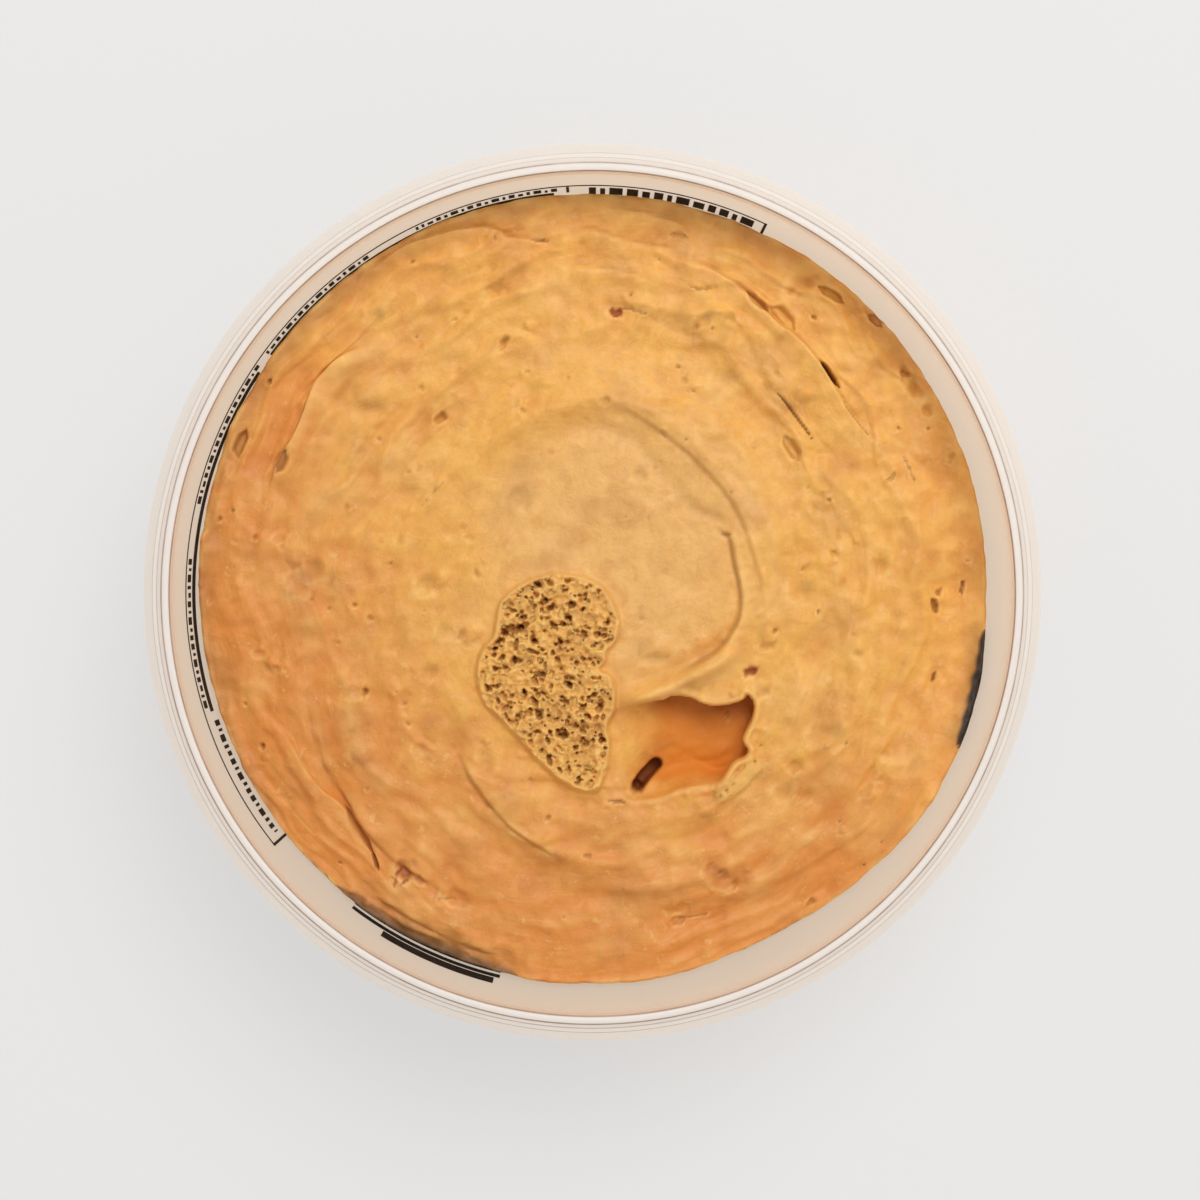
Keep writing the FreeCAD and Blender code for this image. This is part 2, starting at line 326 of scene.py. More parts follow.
def spread_finish(spread):
    """Moist processed cheese: light passes in, streaks and flecks on the skin."""
    cheese = Finish("cheese_spread")
    place = cheese.place()
    middle = cheese.mark("middle")
    open_face = cheese.mark("opened")
    pit_shade = cheese.mark("pit_shade")
    torn = cheese.mark("torn")
    stain = cheese.mark("stain")
    streak = cheese.mark("streak")
    shade = cheese.mark("shade")
    smear_and_highlight = cheese.mark("smear_and_highlight")
    deeper_and_shaded = cheese.mark("deeper_and_shaded")
    inked_shade = cheese.mark("inked_shade")

    cloud = cheese.noise(place, 90.0, 3.0, 0.55, 0.4)
    grain = cheese.noise(place, 1100.0, 3.0, 0.65)
    mottle = cheese.noise(place, 330.0, 4.0, 0.62, 0.6)
    x, y, _ = cheese.split(place)
    reach = (x * x + y * y + 1e-7) ** 0.5
    pulled = cheese.mark("swirl") * SWIRL_SPAN
    round_tub = cheese.join(pulled * 0.7, x / reach * 1.6, y / reach * 1.6)
    drag = cheese.noise(round_tub, 1.9, 4.0, 0.62)
    wisp = cheese.noise(cheese.join(pulled, x / reach * 7.0, y / reach * 7.0), 0.9, 3.0, 0.6)
    fleck = cheese.band(cheese.noise(place, 420.0, 1.0, 0.4), 0.69, 0.76)
    tone = cheese.band(cloud * 0.5 + streak * 0.35 + middle * 0.75, 0.25, 1.1)
    # Painted shade away from the lamp and in valleys, with random deeper patches.
    colour_now = cheese.mix(deeper_and_shaded, spread.warm, spread.deeper_and_shaded)
    colour_now = cheese.mix(tone, colour_now, spread.pale)
    colour_now = cheese.mix(cheese.band(grain, 0.4, 0.75) * 0.2, colour_now, spread.deep)
    colour_now = cheese.mix(cheese.band(mottle, 0.48, 0.72) * 0.3, colour_now, spread.deep)
    colour_now = cheese.mix(cheese.band(drag, 0.5, 0.75) * 0.13 * (1.0 - middle), colour_now, spread.deep)
    # Painted highlight: fine pale glints over the skin.
    colour_now = cheese.mix(cheese.band(mottle * 0.5 + grain * 0.5, 0.56, 0.66) * 0.4, colour_now,
                            spread.glint)
    colour_now = cheese.mix(fleck * 0.3, colour_now, spread.deep)
    colour_now = cheese.mix(cheese.band(wisp, 0.58, 0.74) * 0.22 * (1.0 - middle * 0.6), colour_now,
                            spread.wisp)
    colour_now = cheese.mix(torn * 0.88, colour_now, spread.crumb)
    colour_now = cheese.mix(open_face, colour_now, spread.fresh)
    colour_now = cheese.mix(shade * 0.75, colour_now, spread.gloom)
    # Painted highlight on crowns, lit rims and edges, plus the pale smeared edge at the wall.
    colour_now = cheese.mix(smear_and_highlight * 0.8, colour_now, spread.crest_highlight)
    # Painted shade in pits, slits, creases and holes.
    colour_now = cheese.mix(pit_shade, colour_now, spread.dark)
    colour_now = cheese.mix(stain, colour_now, spread.stain)
    # Painted shade where the print shows past the thin edge by the wall.
    colour_now = cheese.mix(inked_shade, colour_now, spread.inked_shade)

    bubbles = cheese.band(cheese.cells(place, 620.0), 0.16, 0.42)
    height = mottle * 0.8 + grain * 0.4 + drag * (1.0 - middle) * 0.35 + torn * bubbles * 1.2
    values = {
        "Base Color": colour_now,
        "Roughness": 0.45 + grain * 0.16 + torn * 0.18 + open_face * 0.25,
        "Normal": cheese.bump(height, 1.0, BUMP_DEPTH),
        "IOR": 1.42,
        "Subsurface Weight": 0.42,
        "Subsurface Radius": (1.0, 0.42, 0.12),
        "Subsurface Scale": 0.0008,
        "Coat Weight": 0.05,
        "Coat Roughness": 0.28,
    }
    body = cheese.node("ShaderNodeBsdfPrincipled", None, values)[0]
    return cheese.output(body)


def milky_finish(name, tub, body, passes, painted_glow, share_through):
    """Natural plastic seen from its outer skin: scatters and lets some light by."""
    milky = Finish(name)
    place = milky.place()
    haze = milky.noise(place, 60.0, 2.0, 0.5)
    flow = milky.noise(milky.stretch(place, (1.0, 1.0, 0.12)), 500.0, 2.0, 0.5)
    dimmed = tuple(part * 0.94 for part in body)
    gloss = milky.node("ShaderNodeBsdfPrincipled", None, {
        "Base Color": milky.mix(milky.band(haze, 0.3, 0.75) * 0.4, body, dimmed),
        "Roughness": 0.30 + flow * 0.14,
        "Normal": milky.bump(flow, 0.12, 0.05),
        "IOR": 1.49,
        # Emission is painted light: the plastic glows to stand in for light scattered inside it, lifting
        # the sides turned from the lamp.
        "Emission Color": rgba(passes),
        "Emission Strength": painted_glow,
    })[0]
    through = milky.node("ShaderNodeBsdfTranslucent", None, {"Color": rgba(passes)})[0]
    scattered = milky.blend(share_through, gloss, through)
    clear = milky.node("ShaderNodeBsdfTransparent", None, {"Color": rgba(passes)})[0]
    share = tub.milk_share - 0.06 + haze * 0.12
    return milky.output(milky.blend(share, clear, scattered))


def clear_finish():
    """Inner skin of the wall: almost clear, with a soft sheen."""
    inner = Finish("inner_skin")
    ripple = inner.noise(inner.place(), 220.0, 2.0, 0.5)
    sheen = inner.node("ShaderNodeBsdfPrincipled", None, {
        "Base Color": rgba(linear(244, 232, 220)),
        "Roughness": 0.26 + ripple * 0.12,
        "Normal": inner.bump(ripple, 0.1, 0.05),
        "IOR": 1.49,
    })[0]
    clear = inner.node("ShaderNodeBsdfTransparent", None, {"Color": rgba(linear(252, 248, 243))})[0]
    edge = inner.node("ShaderNodeFresnel", None, {"IOR": 1.35})[0]
    return inner.output(inner.blend(0.012 + edge * 0.05, clear, sheen))


def crease_shade_finish(name, tone, tub):
    """Painted shade along a crease of the plastic, a little darker than the plastic beside it."""
    lines = Finish(name)
    wear = lines.noise(lines.place(), 300.0, 2.0, 0.5)
    tone = lines.mix(lines.band(wear, 0.3, 0.7) * 0.25, tone, tub.milk)
    body = lines.node("ShaderNodeBsdfPrincipled", None, {"Base Color": tone, "Roughness": 0.45})[0]
    return lines.output(body)


def ink_finish(ink):
    """Flat black ink with the faint mottle of dry-offset print."""
    printed = Finish("print_ink")
    mottle = printed.noise(printed.place(), 1400.0, 2.0, 0.5)
    tone = printed.mix(printed.band(mottle, 0.45, 0.8) * 0.3, ink, linear(40, 34, 32))
    body = printed.node("ShaderNodeBsdfPrincipled", None, {
        "Specular IOR Level": 0.12,
        "Base Color": tone,
        "Roughness": 0.48 + mottle * 0.1,
        "Normal": printed.bump(mottle, 0.1, 0.02),
    })[0]
    return printed.output(body)


# ------------------------------------------------------------ modelling helpers
def start_clean():
    """Leaves edit mode and deselects everything."""
    if bpy.context.object and bpy.context.object.mode != "OBJECT":
        bpy.ops.object.mode_set(mode="OBJECT")
    bpy.ops.object.select_all(action="DESELECT")


def pick(made):
    """Makes one object the only one picked, and the active one."""
    start_clean()
    made.select_set(True)
    bpy.context.view_layer.objects.active = made


def faces_out():
    """Points every face of the active object outwards."""
    bpy.ops.object.mode_set(mode="EDIT")
    bpy.ops.mesh.select_all(action="SELECT")
    bpy.ops.mesh.normals_make_consistent(inside=False)
    bpy.ops.object.mode_set(mode="OBJECT")


def named_active(name):
    """The object just added, under its own name."""
    made = bpy.context.object
    made.name = name
    made.data.name = name
    return made


def settle(made):
    """Puts the object's place into its mesh."""
    pick(made)
    bpy.ops.object.transform_apply(location=True, rotation=True, scale=True)
    return made


def set_vertices(made, places_mm):
    """Moves every vertex to a place given in millimetres."""
    made.data.vertices.foreach_set("co", (places_mm * MM).astype(np.float32).ravel())
    made.data.update()


def get_vertices(made):
    """Every vertex's place in millimetres."""
    flat = np.zeros(len(made.data.vertices) * 3, np.float32)
    made.data.vertices.foreach_get("co", flat)
    return flat.reshape(-1, 3).astype(float) / MM


def set_mark(made, name, values):
    """Writes a float attribute for the first vertices and 0 for the rest."""
    padded = np.zeros(len(made.data.vertices), np.float32)
    padded[: len(values)] = np.clip(values, 0.0, 1.0)
    made.data.attributes.new(name, "FLOAT", "POINT").data.foreach_set("value", padded)


def shade_smooth(made, angle=None):
    """Smooth shading, with sharp edges kept past an angle if one is given."""
    pick(made)
    if angle is None:
        bpy.ops.object.shade_smooth()
    else:
        bpy.ops.object.shade_smooth_by_angle(angle=angle)


# ------------------------------------------------------------ tub
def wall_inside(tub, height):
    """Radius of the inner wall at a height."""
    lip_bore = lip_bore_radius(tub)
    return lip_bore - tub.seal_step - tub.wall_slope * (tub.height - height)


def wall_outside(tub, depth):
    """Radius of the outer wall at a depth under the lip."""
    return wall_inside(tub, tub.height - depth) + tub.wall_thick


def lip_bore_radius(tub):
    """Radius inside the lip, worked inwards from the skirt."""
    outward = tub.hem_width + tub.skirt_flare + tub.ledge_width + tub.skirt_lean + tub.lip_width
    return tub.skirt_radius - outward


def rounded_section(corners, arc_steps=5):
    """Section whose corners (radius, height, rounding) are turned into arcs."""
    section = []
    count = len(corners)
    for index, (radius, height, rounding) in enumerate(corners):
        here = np.array([radius, height])
        if rounding == 0 or index in (0, count - 1):
            section.append(here)
            continue
        before = np.array(corners[index - 1][:2]) - here
        after = np.array(corners[index + 1][:2]) - here
        before /= np.linalg.norm(before)
        after /= np.linalg.norm(after)
        half = math.acos(np.clip(before @ after, -1.0, 1.0)) / 2.0
        centre = here + (before + after) / np.linalg.norm(before + after) * rounding / math.sin(half)
        start = here + before * rounding / math.tan(half) - centre
        end = here + after * rounding / math.tan(half) - centre
        for step in range(arc_steps + 1):
            share = step / arc_steps
            arm = start * (1 - share) + end * share
            section.append(centre + arm / np.linalg.norm(arm) * rounding)
    return section


def tub_section(tub):
    """The tub's section from under its middle, round the rim, to its floor."""
    top = tub.height
    bore = lip_bore_radius(tub)
    floor = tub.foot_rise + tub.floor_thick
    lip_outer = bore + tub.lip_width
    under = top - tub.lip_depth
    ledge_inner = lip_outer + tub.skirt_lean
    ledge_outer = ledge_inner + tub.ledge_width
    flare_outer = ledge_outer + tub.skirt_flare
    ledge = top - tub.ledge_drop
    bottom = top - tub.skirt_drop
    base = wall_inside(tub, 0.0) + tub.wall_thick
    thick = tub.skirt_thick
    seal = top - tub.seal_depth
    return [
        (0.6, tub.foot_rise, 0),
        (base - tub.foot_width, tub.foot_rise, 0.3),
        (base - tub.foot_width, 0.0, 0.3),
        (base, 0.0, tub.heel_round),
        (wall_inside(tub, under) + tub.wall_thick, under, 0.1),
        (wall_inside(tub, under) + tub.wall_thick + tub.skirt_gap, under, 0.1),
        (ledge_inner - thick, ledge - thick, 0),
        (ledge_outer - thick, ledge - thick, 0),
        (flare_outer - thick, bottom, 0.08),
        (flare_outer + tub.hem_width, bottom, 0.15),
        (flare_outer + tub.hem_width, bottom + tub.hem_width * 2, 0.2),
        (flare_outer, bottom + tub.hem_width * 3, 0.2),
        (ledge_outer, ledge, 0.25),
        (ledge_inner, ledge, 0.2),
        (lip_outer + 0.26, top - 0.58, 0),
        (lip_outer + 0.05, top - 0.52, 0),
        (lip_outer, top, tub.lip_round),
        (bore, top, tub.lip_round),
        (bore, seal, 0.12),
        (wall_inside(tub, seal), seal, 0.12),
        (wall_inside(tub, floor), floor, tub.inside_round),
        (0.6, floor, 0),
    ]


def turn_shell(name, section):
    """Ring extruded from one point of the section to the next, both ends capped."""
    start_clean()
    radius, height = section[0]
    bpy.ops.mesh.primitive_circle_add(
        vertices=WALL_STEPS, radius=radius * MM, location=(0, 0, height * MM), fill_type="NOTHING"
    )
    made = settle(named_active(name))
    bpy.ops.object.mode_set(mode="EDIT")
    bpy.ops.mesh.select_all(action="SELECT")
    bpy.ops.mesh.edge_face_add()
    bpy.ops.mesh.select_all(action="SELECT")
    for before, after in zip(section[:-1], section[1:]):
        bpy.ops.mesh.extrude_edges_move(
            TRANSFORM_OT_translate={"value": (0, 0, (after[1] - before[1]) * MM)}
        )
        growth = after[0] / before[0]
        bpy.ops.transform.resize(value=(growth, growth, 1.0), center_override=(0, 0, 0))
    bpy.ops.mesh.edge_face_add()
    bpy.ops.mesh.select_all(action="SELECT")
    bpy.ops.mesh.normals_make_consistent(inside=False)
    bpy.ops.object.mode_set(mode="OBJECT")
    return made


def make_tub(tub):
    """Moulded tub, its outer skin milky and the inner skin of its wall clear."""
    section = rounded_section(tub_section(tub))
    made = turn_shell("tub_shell", section)
    # Emission strengths here are painted light: the skirt's strong emission lifts its shaded sides, and
    # the bead's pale emission is a painted highlight.
    finishes = (
        milky_finish("milky_wall", tub, tub.milk, linear(251, 239, 225), 0.22, 0.8),
        clear_finish(),
        crease_shade_finish("lip_crease_shade", tub.line, tub),
        crease_shade_finish("ledge_crease_shade", tub.ledge_shade, tub),
        milky_finish("milky_skirt", tub, tub.skirt, linear(241, 236, 230), 0.5, 0.5),
        milky_finish("lip_bead_highlight", tub, tub.skirt, linear(248, 245, 242), 0.45, 0.4),
    )
    wall, inner_skin, lip_crease_shade, ledge_crease_shade, skirt, bead = range(len(finishes))
    for finish in finishes:
        made.data.materials.append(finish)
    seal = tub.height - tub.seal_depth - 0.2
    bore = lip_bore_radius(tub)
    for face in made.data.polygons:
        centre = face.center / MM
        radius = math.hypot(centre.x, centre.y)
        depth = tub.height - centre.z
        face.material_index = wall
        inner = centre.z < seal and radius < wall_inside(tub, centre.z) + 0.15
        if inner and centre.z > tub.foot_rise + tub.floor_thick / 2:
            face.material_index = inner_skin
        if radius > bore - 0.05:
            face.material_index = skirt
        if depth < 0.3 and bore + 0.05 < radius < bore + tub.lip_width:
            face.material_index = bead
        # Painted shade and reflection on the seal band and the groove; painted shade on the ledge's
        # corners.
        seal_band = abs(radius - bore) < 0.05 and 0.3 < depth < tub.seal_depth
        groove = 0.06 < radius - bore - tub.lip_width < 0.24 and 0.5 < depth < 0.6
        if seal_band or groove:
            face.material_index = lip_crease_shade
        ledge = bore + tub.lip_width + tub.skirt_lean
        off_ledge = min(abs(radius - ledge), abs(radius - ledge - tub.ledge_width))
        if off_ledge < SHADE_LINE_HALF and depth < tub.skirt_drop - 0.5:
            face.material_index = ledge_crease_shade
    shade_smooth(made, TUB_SHARP)
    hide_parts("tub")
    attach(made, "root")
    return made


# ------------------------------------------------------------ relief of the spread
def swell(x, y, size, seed):
    """Seeded gradient noise from about -1 to 1, one swell every `size` millimetres."""
    turns = np.random.default_rng(seed).uniform(0.0, 2.0 * np.pi, (256, 256))
    across, up = x / size + 128.0, y / size + 128.0
    column, row = np.floor(across).astype(int), np.floor(up).astype(int)
    across, up = across - column, up - row

    def corner(step_x, step_y):
        turn = turns[(column + step_x) % 256, (row + step_y) % 256]
        return np.cos(turn) * (across - step_x) + np.sin(turn) * (up - step_y)

    ease_x = across ** 3 * (across * (across * 6 - 15) + 10)
    ease_y = up ** 3 * (up * (up * 6 - 15) + 10)
    low = corner(0, 0) * (1 - ease_x) + corner(1, 0) * ease_x
    high = corner(0, 1) * (1 - ease_x) + corner(1, 1) * ease_x
    return (low * (1 - ease_y) + high * ease_y) * 1.5


def smooth(low, high, value):
    """Smooth 0 to 1 as the value goes from low to high."""
    share = np.clip((value - low) / (high - low), 0.0, 1.0)
    return share * share * (3.0 - 2.0 * share)


def curve_through(points, closed=False, per_span=7):
    """Catmull-Rom line through the points."""
    points = np.array(points, float)
    if closed:
        points = np.vstack([points[-1], points, points[:2]])
    else:
        points = np.vstack([2 * points[0] - points[1], points, 2 * points[-1] - points[-2]])
    line = []
    for index in range(len(points) - 3):
        a, b, c, d = points[index: index + 4]
        for share in np.arange(per_span) / per_span:
            line.append(0.5 * (2 * b + (c - a) * share + (2 * a - 5 * b + 4 * c - d) * share ** 2
                               + (3 * b - 3 * c + d - a) * share ** 3))
    line.append(points[-2])
    return np.array(line)


class Face:
    """The spread's upper face: heights, sideways slides and marks, one value a vertex."""

    def __init__(self, x, y):
        self.x = x
        self.y = y
        self.lift = np.zeros(len(x))
        self.slide = np.zeros((len(x), 2))
        names = ("middle", "opened", "pit_shade", "torn", "stain", "streak", "shade", "smear_and_highlight", "deeper_and_shaded",
                 "swirl", "inked_shade")
        self.marks = {name: np.zeros(len(x)) for name in names}

    def near(self, line, reach):
        """Vertices within reach of a line: index, distance, side (left is +), share along it."""
        low, high = line.min(0) - reach, line.max(0) + reach
        inside = (self.x > low[0]) & (self.x < high[0]) & (self.y > low[1]) & (self.y < high[1])
        index = np.nonzero(inside)[0]
        px, py = self.x[index], self.y[index]
        best = np.full(len(index), 1e9)
        side = np.zeros(len(index))
        along = np.zeros(len(index))
        runs = np.linalg.norm(np.diff(line, axis=0), axis=1)
        total = runs.sum()
        done = 0.0
        for start, end, run in zip(line[:-1], line[1:], runs):
            way = (end - start) / max(run, 1e-9)
            off_x, off_y = px - start[0], py - start[1]
            step = np.clip(off_x * way[0] + off_y * way[1], 0.0, run)
            gap = np.hypot(off_x - way[0] * step, off_y - way[1] * step)
            closer = gap < best
            best[closer] = gap[closer]
            side[closer] = np.sign(way[0] * off_y - way[1] * off_x)[closer]
            along[closer] = (done + step[closer]) / total
            done += run
        keep = best < reach
        return index[keep], best[keep], side[keep] * best[keep], along[keep]

    def ridge(self, points, height, width, taper=0.25, dark=0.0):
        """Rounded ridge, or a valley where the height is negative; its darkness is painted shade along
        the valley.
        """
        index, gap, _, along = self.near(curve_through(points), width * 3)
        shape = np.exp(-((gap / width) ** 2)) * ends(along, taper)
        self.lift[index] += height * shape
        if dark:
            self.mark("pit_shade", index, shape ** 1.5 * dark)

    def fold(self, points, height, width, lean=0.25, edge=0.3, taper=0.2, crease=0.0):
        """Lip of a fold: high on the left of the line, falling away over the width, with a painted
        highlight along its top and painted shade in the crease.
        """
        line = curve_through(points)
        index, _, side, along = self.near(line, width * 3)
        shape = ends(along, taper)
        rise = smooth(-edge, edge, side) * np.exp(-np.maximum(side, 0.0) / width)
        self.lift[index] += height * rise * shape
        crest_highlight = np.exp(-(((side - edge - 0.2) / 0.45) ** 2)) * shape
        self.mark("smear_and_highlight", index, crest_highlight * min(height * 0.45, 0.6))
        push = lean * np.exp(-(((side - edge) / 0.7) ** 2)) * shape
        way = line[-1] - line[0]
        across = np.array([-way[1], way[0]]) / np.linalg.norm(way)
        self.slide[index] -= push[:, None] * across
        if crease:
            valley = np.exp(-(((side + edge) / 0.35) ** 2)) * shape
            self.lift[index] -= valley * crease
            self.mark("pit_shade", index, valley * min(crease, 0.6))

    def slit(self, points, depth, width, dark=1.0, rim=0.0, taper=0.3):
        """Narrow opening with painted shade at its bottom and edges, a painted highlight beyond its edge
        and, if asked, a raised rim.
        """
        index, gap, _, along = self.near(curve_through(points), width * 3)
        reach = ends(along, taper)
        shape = 1.0 - smooth(0.45, 1.15, gap / (width * np.maximum(reach, 0.15)))
        shape *= smooth(0.0, 0.2, reach)
        self.lift[index] -= depth * shape
        self.lift[index] += rim * np.exp(-(((gap / width) - 1.6) / 0.5) ** 2) * reach
        across = gap / (width * np.maximum(reach, 0.3))
        outline = np.exp(-(((across - 0.85) / 0.3) ** 2)) * smooth(0.0, 0.2, reach)
        self.mark("pit_shade", index, shape * dark ** 2 * 0.95 + outline * (1.0 - dark) * dark * 1.5)
        lit = np.exp(-(((across - 1.6) / 0.35) ** 2)) * smooth(0.0, 0.3, reach)
        self.mark("smear_and_highlight", index, lit * 0.5)

    def spot(self, x, y, size, depth, long=1.0, turn=0.0, dark=0.8, rim=0.0, stain=0.0):
        """Round or drawn-out dimple, or a bump where the depth is negative; painted shade lies in a
        dimple on its side towards the lamp, with a painted highlight on the rim across from it, and at
        the foot of a bump away from the lamp.
        """
        reach = size * max(long, 1.0) * 2.2
        index = np.nonzero((abs(self.x - x) < reach) & (abs(self.y - y) < reach))[0]
        off_x, off_y = self.x[index] - x, self.y[index] - y
        angle = math.radians(turn)
        u = off_x * math.cos(angle) + off_y * math.sin(angle)
        v = -off_x * math.sin(angle) + off_y * math.cos(angle)
        radius = np.hypot(u / (size * long), v / size)
        wobble = swell(self.x[index], self.y[index], size * 0.9 + 0.2, 61) * 0.38
        shape = 1.0 - smooth(0.35, 1.1, radius + wobble)
        self.lift[index] -= depth * shape
        self.lift[index] += 0.5 * rim * np.exp(-(((radius + wobble - 1.2) / 0.35) ** 2))
        if depth > 0:
            # Painted shade inside, on the side towards the lamp; painted highlight on the rim across from
            # it.
            lee = smooth(-0.6, 0.7, (off_x * 0.55 + off_y * 0.83) / size)
            self.mark("pit_shade", index, shape * max(dark, min(0.3, size * 0.26)) * (0.15 + 0.8 * lee))
            lit = np.exp(-(((radius + wobble - 1.25) / 0.25) ** 2)) * (1.0 - lee)
            self.mark("smear_and_highlight", index, lit * 0.6 * smooth(0.0, 0.3, dark + size * 0.2))
        else:
            # Painted shadow at the foot of a bump, on the side away from the lamp.
            far = smooth(0.5, -0.7, (off_x * 0.55 + off_y * 0.83) / size)
            foot = np.exp(-(((radius + wobble - 1.0) / 0.35) ** 2))
            self.mark("pit_shade", index, foot * far * 0.2)
        if stain:
            self.mark("stain", index, (1.0 - smooth(0.3, 1.3, radius + wobble * 2)) * stain)

    def swell(self, size, seed):
        """Seeded noise over the whole face."""
        return swell(self.x, self.y, size, seed)

    def mark(self, name, index, amount):
        """Keeps the stronger of the old and new mark."""
        marks = self.marks[name]
        marks[index] = np.maximum(marks[index], amount)

    def inside(self, outline, reach):
        """Vertices in or near a closed outline: index and depth inside it (outside is -)."""
        line = curve_through(outline, closed=True)
        index, gap, _, _ = self.near(line, 60.0)
        crossed = np.zeros(len(index), bool)
        px, py = self.x[index], self.y[index]
        for (x0, y0), (x1, y1) in zip(line[:-1], line[1:]):
            if y0 == y1:
                continue
            spans = (y0 > py) != (y1 > py)
            crossed ^= spans & (px < (x1 - x0) * (py - y0) / (y1 - y0) + x0)
        depth = np.where(crossed, gap, -gap)
        keep = depth > -reach
        return index[keep], depth[keep]


def ends(along, taper):
    """Fades a line in and out over a share of its length at each end."""
    return smooth(0.0, taper, along) * smooth(0.0, taper, 1.0 - along)


# Broad swirls pressed by the spatula, as in the solid: centre x and y, radius, from and to
# in degrees, rise and half width.
SWIRLS = (
    (0.5, 6.0, 20.0, -78.0, 171.0, 0.7, 2.6),
    (0.5, 4.0, 23.8, -5.0, 58.0, 0.8, 1.7),
    (0.5, 5.0, 28.5, 20.0, 100.0, -0.6, 2.4),
    (14.0, -4.0, 35.0, 206.0, 282.0, 0.9, 2.2),
    (12.0, -2.0, 40.5, 208.0, 300.0, -0.7, 2.2),
    (-20.0, 14.0, 20.4, 105.0, 178.0, 1.0, 2.0),
    (-18.0, 12.0, 25.5, 118.0, 182.0, -0.7, 1.8),
    (0.0, -12.0, 36.8, 190.0, 224.0, -0.8, 1.8),
    (10.0, 8.0, 33.0, -62.0, 18.0, 0.8, 2.4),
    (6.0, 4.0, 42.0, -48.0, 30.0, -0.6, 2.6),
    (24.0, 31.0, 8.0, 205.0, 330.0, -0.7, 1.6),
)

TORN_PATCH = (
    (-4.5, 2.7), (-1.0, 2.3), (1.5, 0.8), (3.0, -1.5), (3.6, -4.0), (3.2, -6.0), (2.0, -7.6),
    (1.7, -8.9), (1.0, -10.0), (2.5, -10.8), (3.0, -12.3), (3.1, -14.0), (3.0, -15.5),
    (2.0, -17.5), (2.4, -19.5), (2.2, -22.0), (1.5, -24.5), (0.5, -26.2), (-2.0, -26.0),
    (-4.5, -24.6), (-7.0, -22.3), (-9.5, -19.5), (-12.0, -16.8), (-14.3, -14.5), (-15.3, -11.5),
    (-15.2, -9.0), (-14.5, -7.3), (-13.2, -5.5), (-12.8, -3.5), (-12.2, -1.0), (-10.0, 1.0),
    (-7.5, 2.2),
)

HOLLOW = (
    (3.0, -16.0), (5.0, -14.7), (8.0, -14.0), (9.6, -13.8), (10.2, -13.4), (11.5, -13.4),
    (13.2, -13.7), (14.6, -14.4), (16.2, -14.8), (18.0, -14.6), (19.8, -14.0), (20.4, -13.2),
    (21.3, -14.0), (21.6, -15.2), (21.3, -16.7), (20.5, -18.3), (20.1, -19.5), (20.8, -20.8),
    (20.3, -21.8), (18.8, -22.5), (17.8, -24.0), (17.0, -25.0), (15.0, -25.6), (12.0, -26.0),
    (9.8, -27.0), (6.5, -27.6), (4.3, -27.2), (3.2, -24.5), (2.5, -21.5), (2.3, -18.5),
)

# Lips of folds, high on the left of the way they run: height, falling width, lean over the
# low side, extra crease, then the points.
FOLDS = (
    (1.25, 2.0, 0.25, 0.32, ((15.8, 9.6), (17.4, 8.2), (18.5, 7.0), (19.1, 4.0), (19.9, 0.0),
                             (19.7, -3.0), (18.8, -5.0), (17.0, -7.4), (13.5, -9.7), (10.0, -11.4))),
    (1.6, 2.2, 0.6, 0.35, ((-29.5, 33.0), (-31.5, 32.0), (-34.0, 30.0), (-36.3, 27.5), (-37.1, 25.3),
                           (-38.2, 22.5), (-39.3, 20.2), (-40.8, 18.0), (-42.3, 15.2), (-43.2, 13.2))),
    (0.9, 3.2, 0.35, 0.15, ((-5.0, 46.3), (-8.0, 46.5), (-10.8, 46.7), (-12.0, 47.4), (-14.0, 48.1),
                            (-17.0, 47.9), (-20.0, 47.2), (-25.0, 45.6), (-30.0, 42.0))),
    (0.5, 1.7, 0.1, 0.08, ((0.9, 25.3), (4.4, 24.4), (7.4, 22.7), (10.8, 20.3), (14.0, 17.5),
                            (18.6, 12.2), (21.2, 5.7), (22.5, 0.5), (22.2, -4.0))),
    (0.9, 1.6, 0.25, 0.2, ((38.5, 18.0), (37.0, 20.3), (34.8, 22.8), (33.1, 25.0), (31.2, 28.3),
                            (28.6, 32.0), (26.8, 33.8), (23.8, 36.2), (20.3, 39.5), (15.0, 43.0),
                            (9.0, 45.2))),
    (0.6, 2.6, 0.2, 0.2, ((-18.0, -20.5), (-17.0, -22.5), (-15.5, -25.2), (-12.5, -29.0),
                          (-9.5, -31.8), (-6.0, -34.0), (-3.5, -36.0))),
    (0.9, 1.6, 0.45, 0.0, ((-28.6, -37.2), (-30.3, -34.0), (-32.0, -31.0), (-34.0, -28.2),
                           (-36.5, -26.2), (-39.0, -22.5), (-41.0, -18.0))),
    (0.55, 1.3, 0.2, 0.2, ((-37.6, -12.5), (-37.3, -16.0), (-36.3, -20.0), (-35.0, -24.0),
                           (-32.7, -27.5), (-31.0, -30.3), (-28.5, -33.6), (-26.0, -35.8),
                           (-22.5, -38.0), (-18.5, -41.0))),
    (0.8, 2.4, 0.3, 0.2, ((-31.0, -40.5), (-28.0, -41.2), (-25.0, -42.9), (-22.0, -44.6),
                          (-18.0, -46.6), (-12.0, -48.6))),
    (0.55, 1.0, 0.2, 0.2, ((13.0, 48.3), (7.0, 50.0), (3.0, 50.8))),
    (0.6, 0.9, 0.2, 0.2, ((12.0, 45.2), (7.0, 45.9), (3.5, 46.8), (0.0, 47.8), (-3.0, 48.2))),
    (0.55, 1.2, 0.2, 0.2, ((8.0, 41.2), (4.0, 42.3), (0.0, 43.0), (-4.0, 43.2))),
)
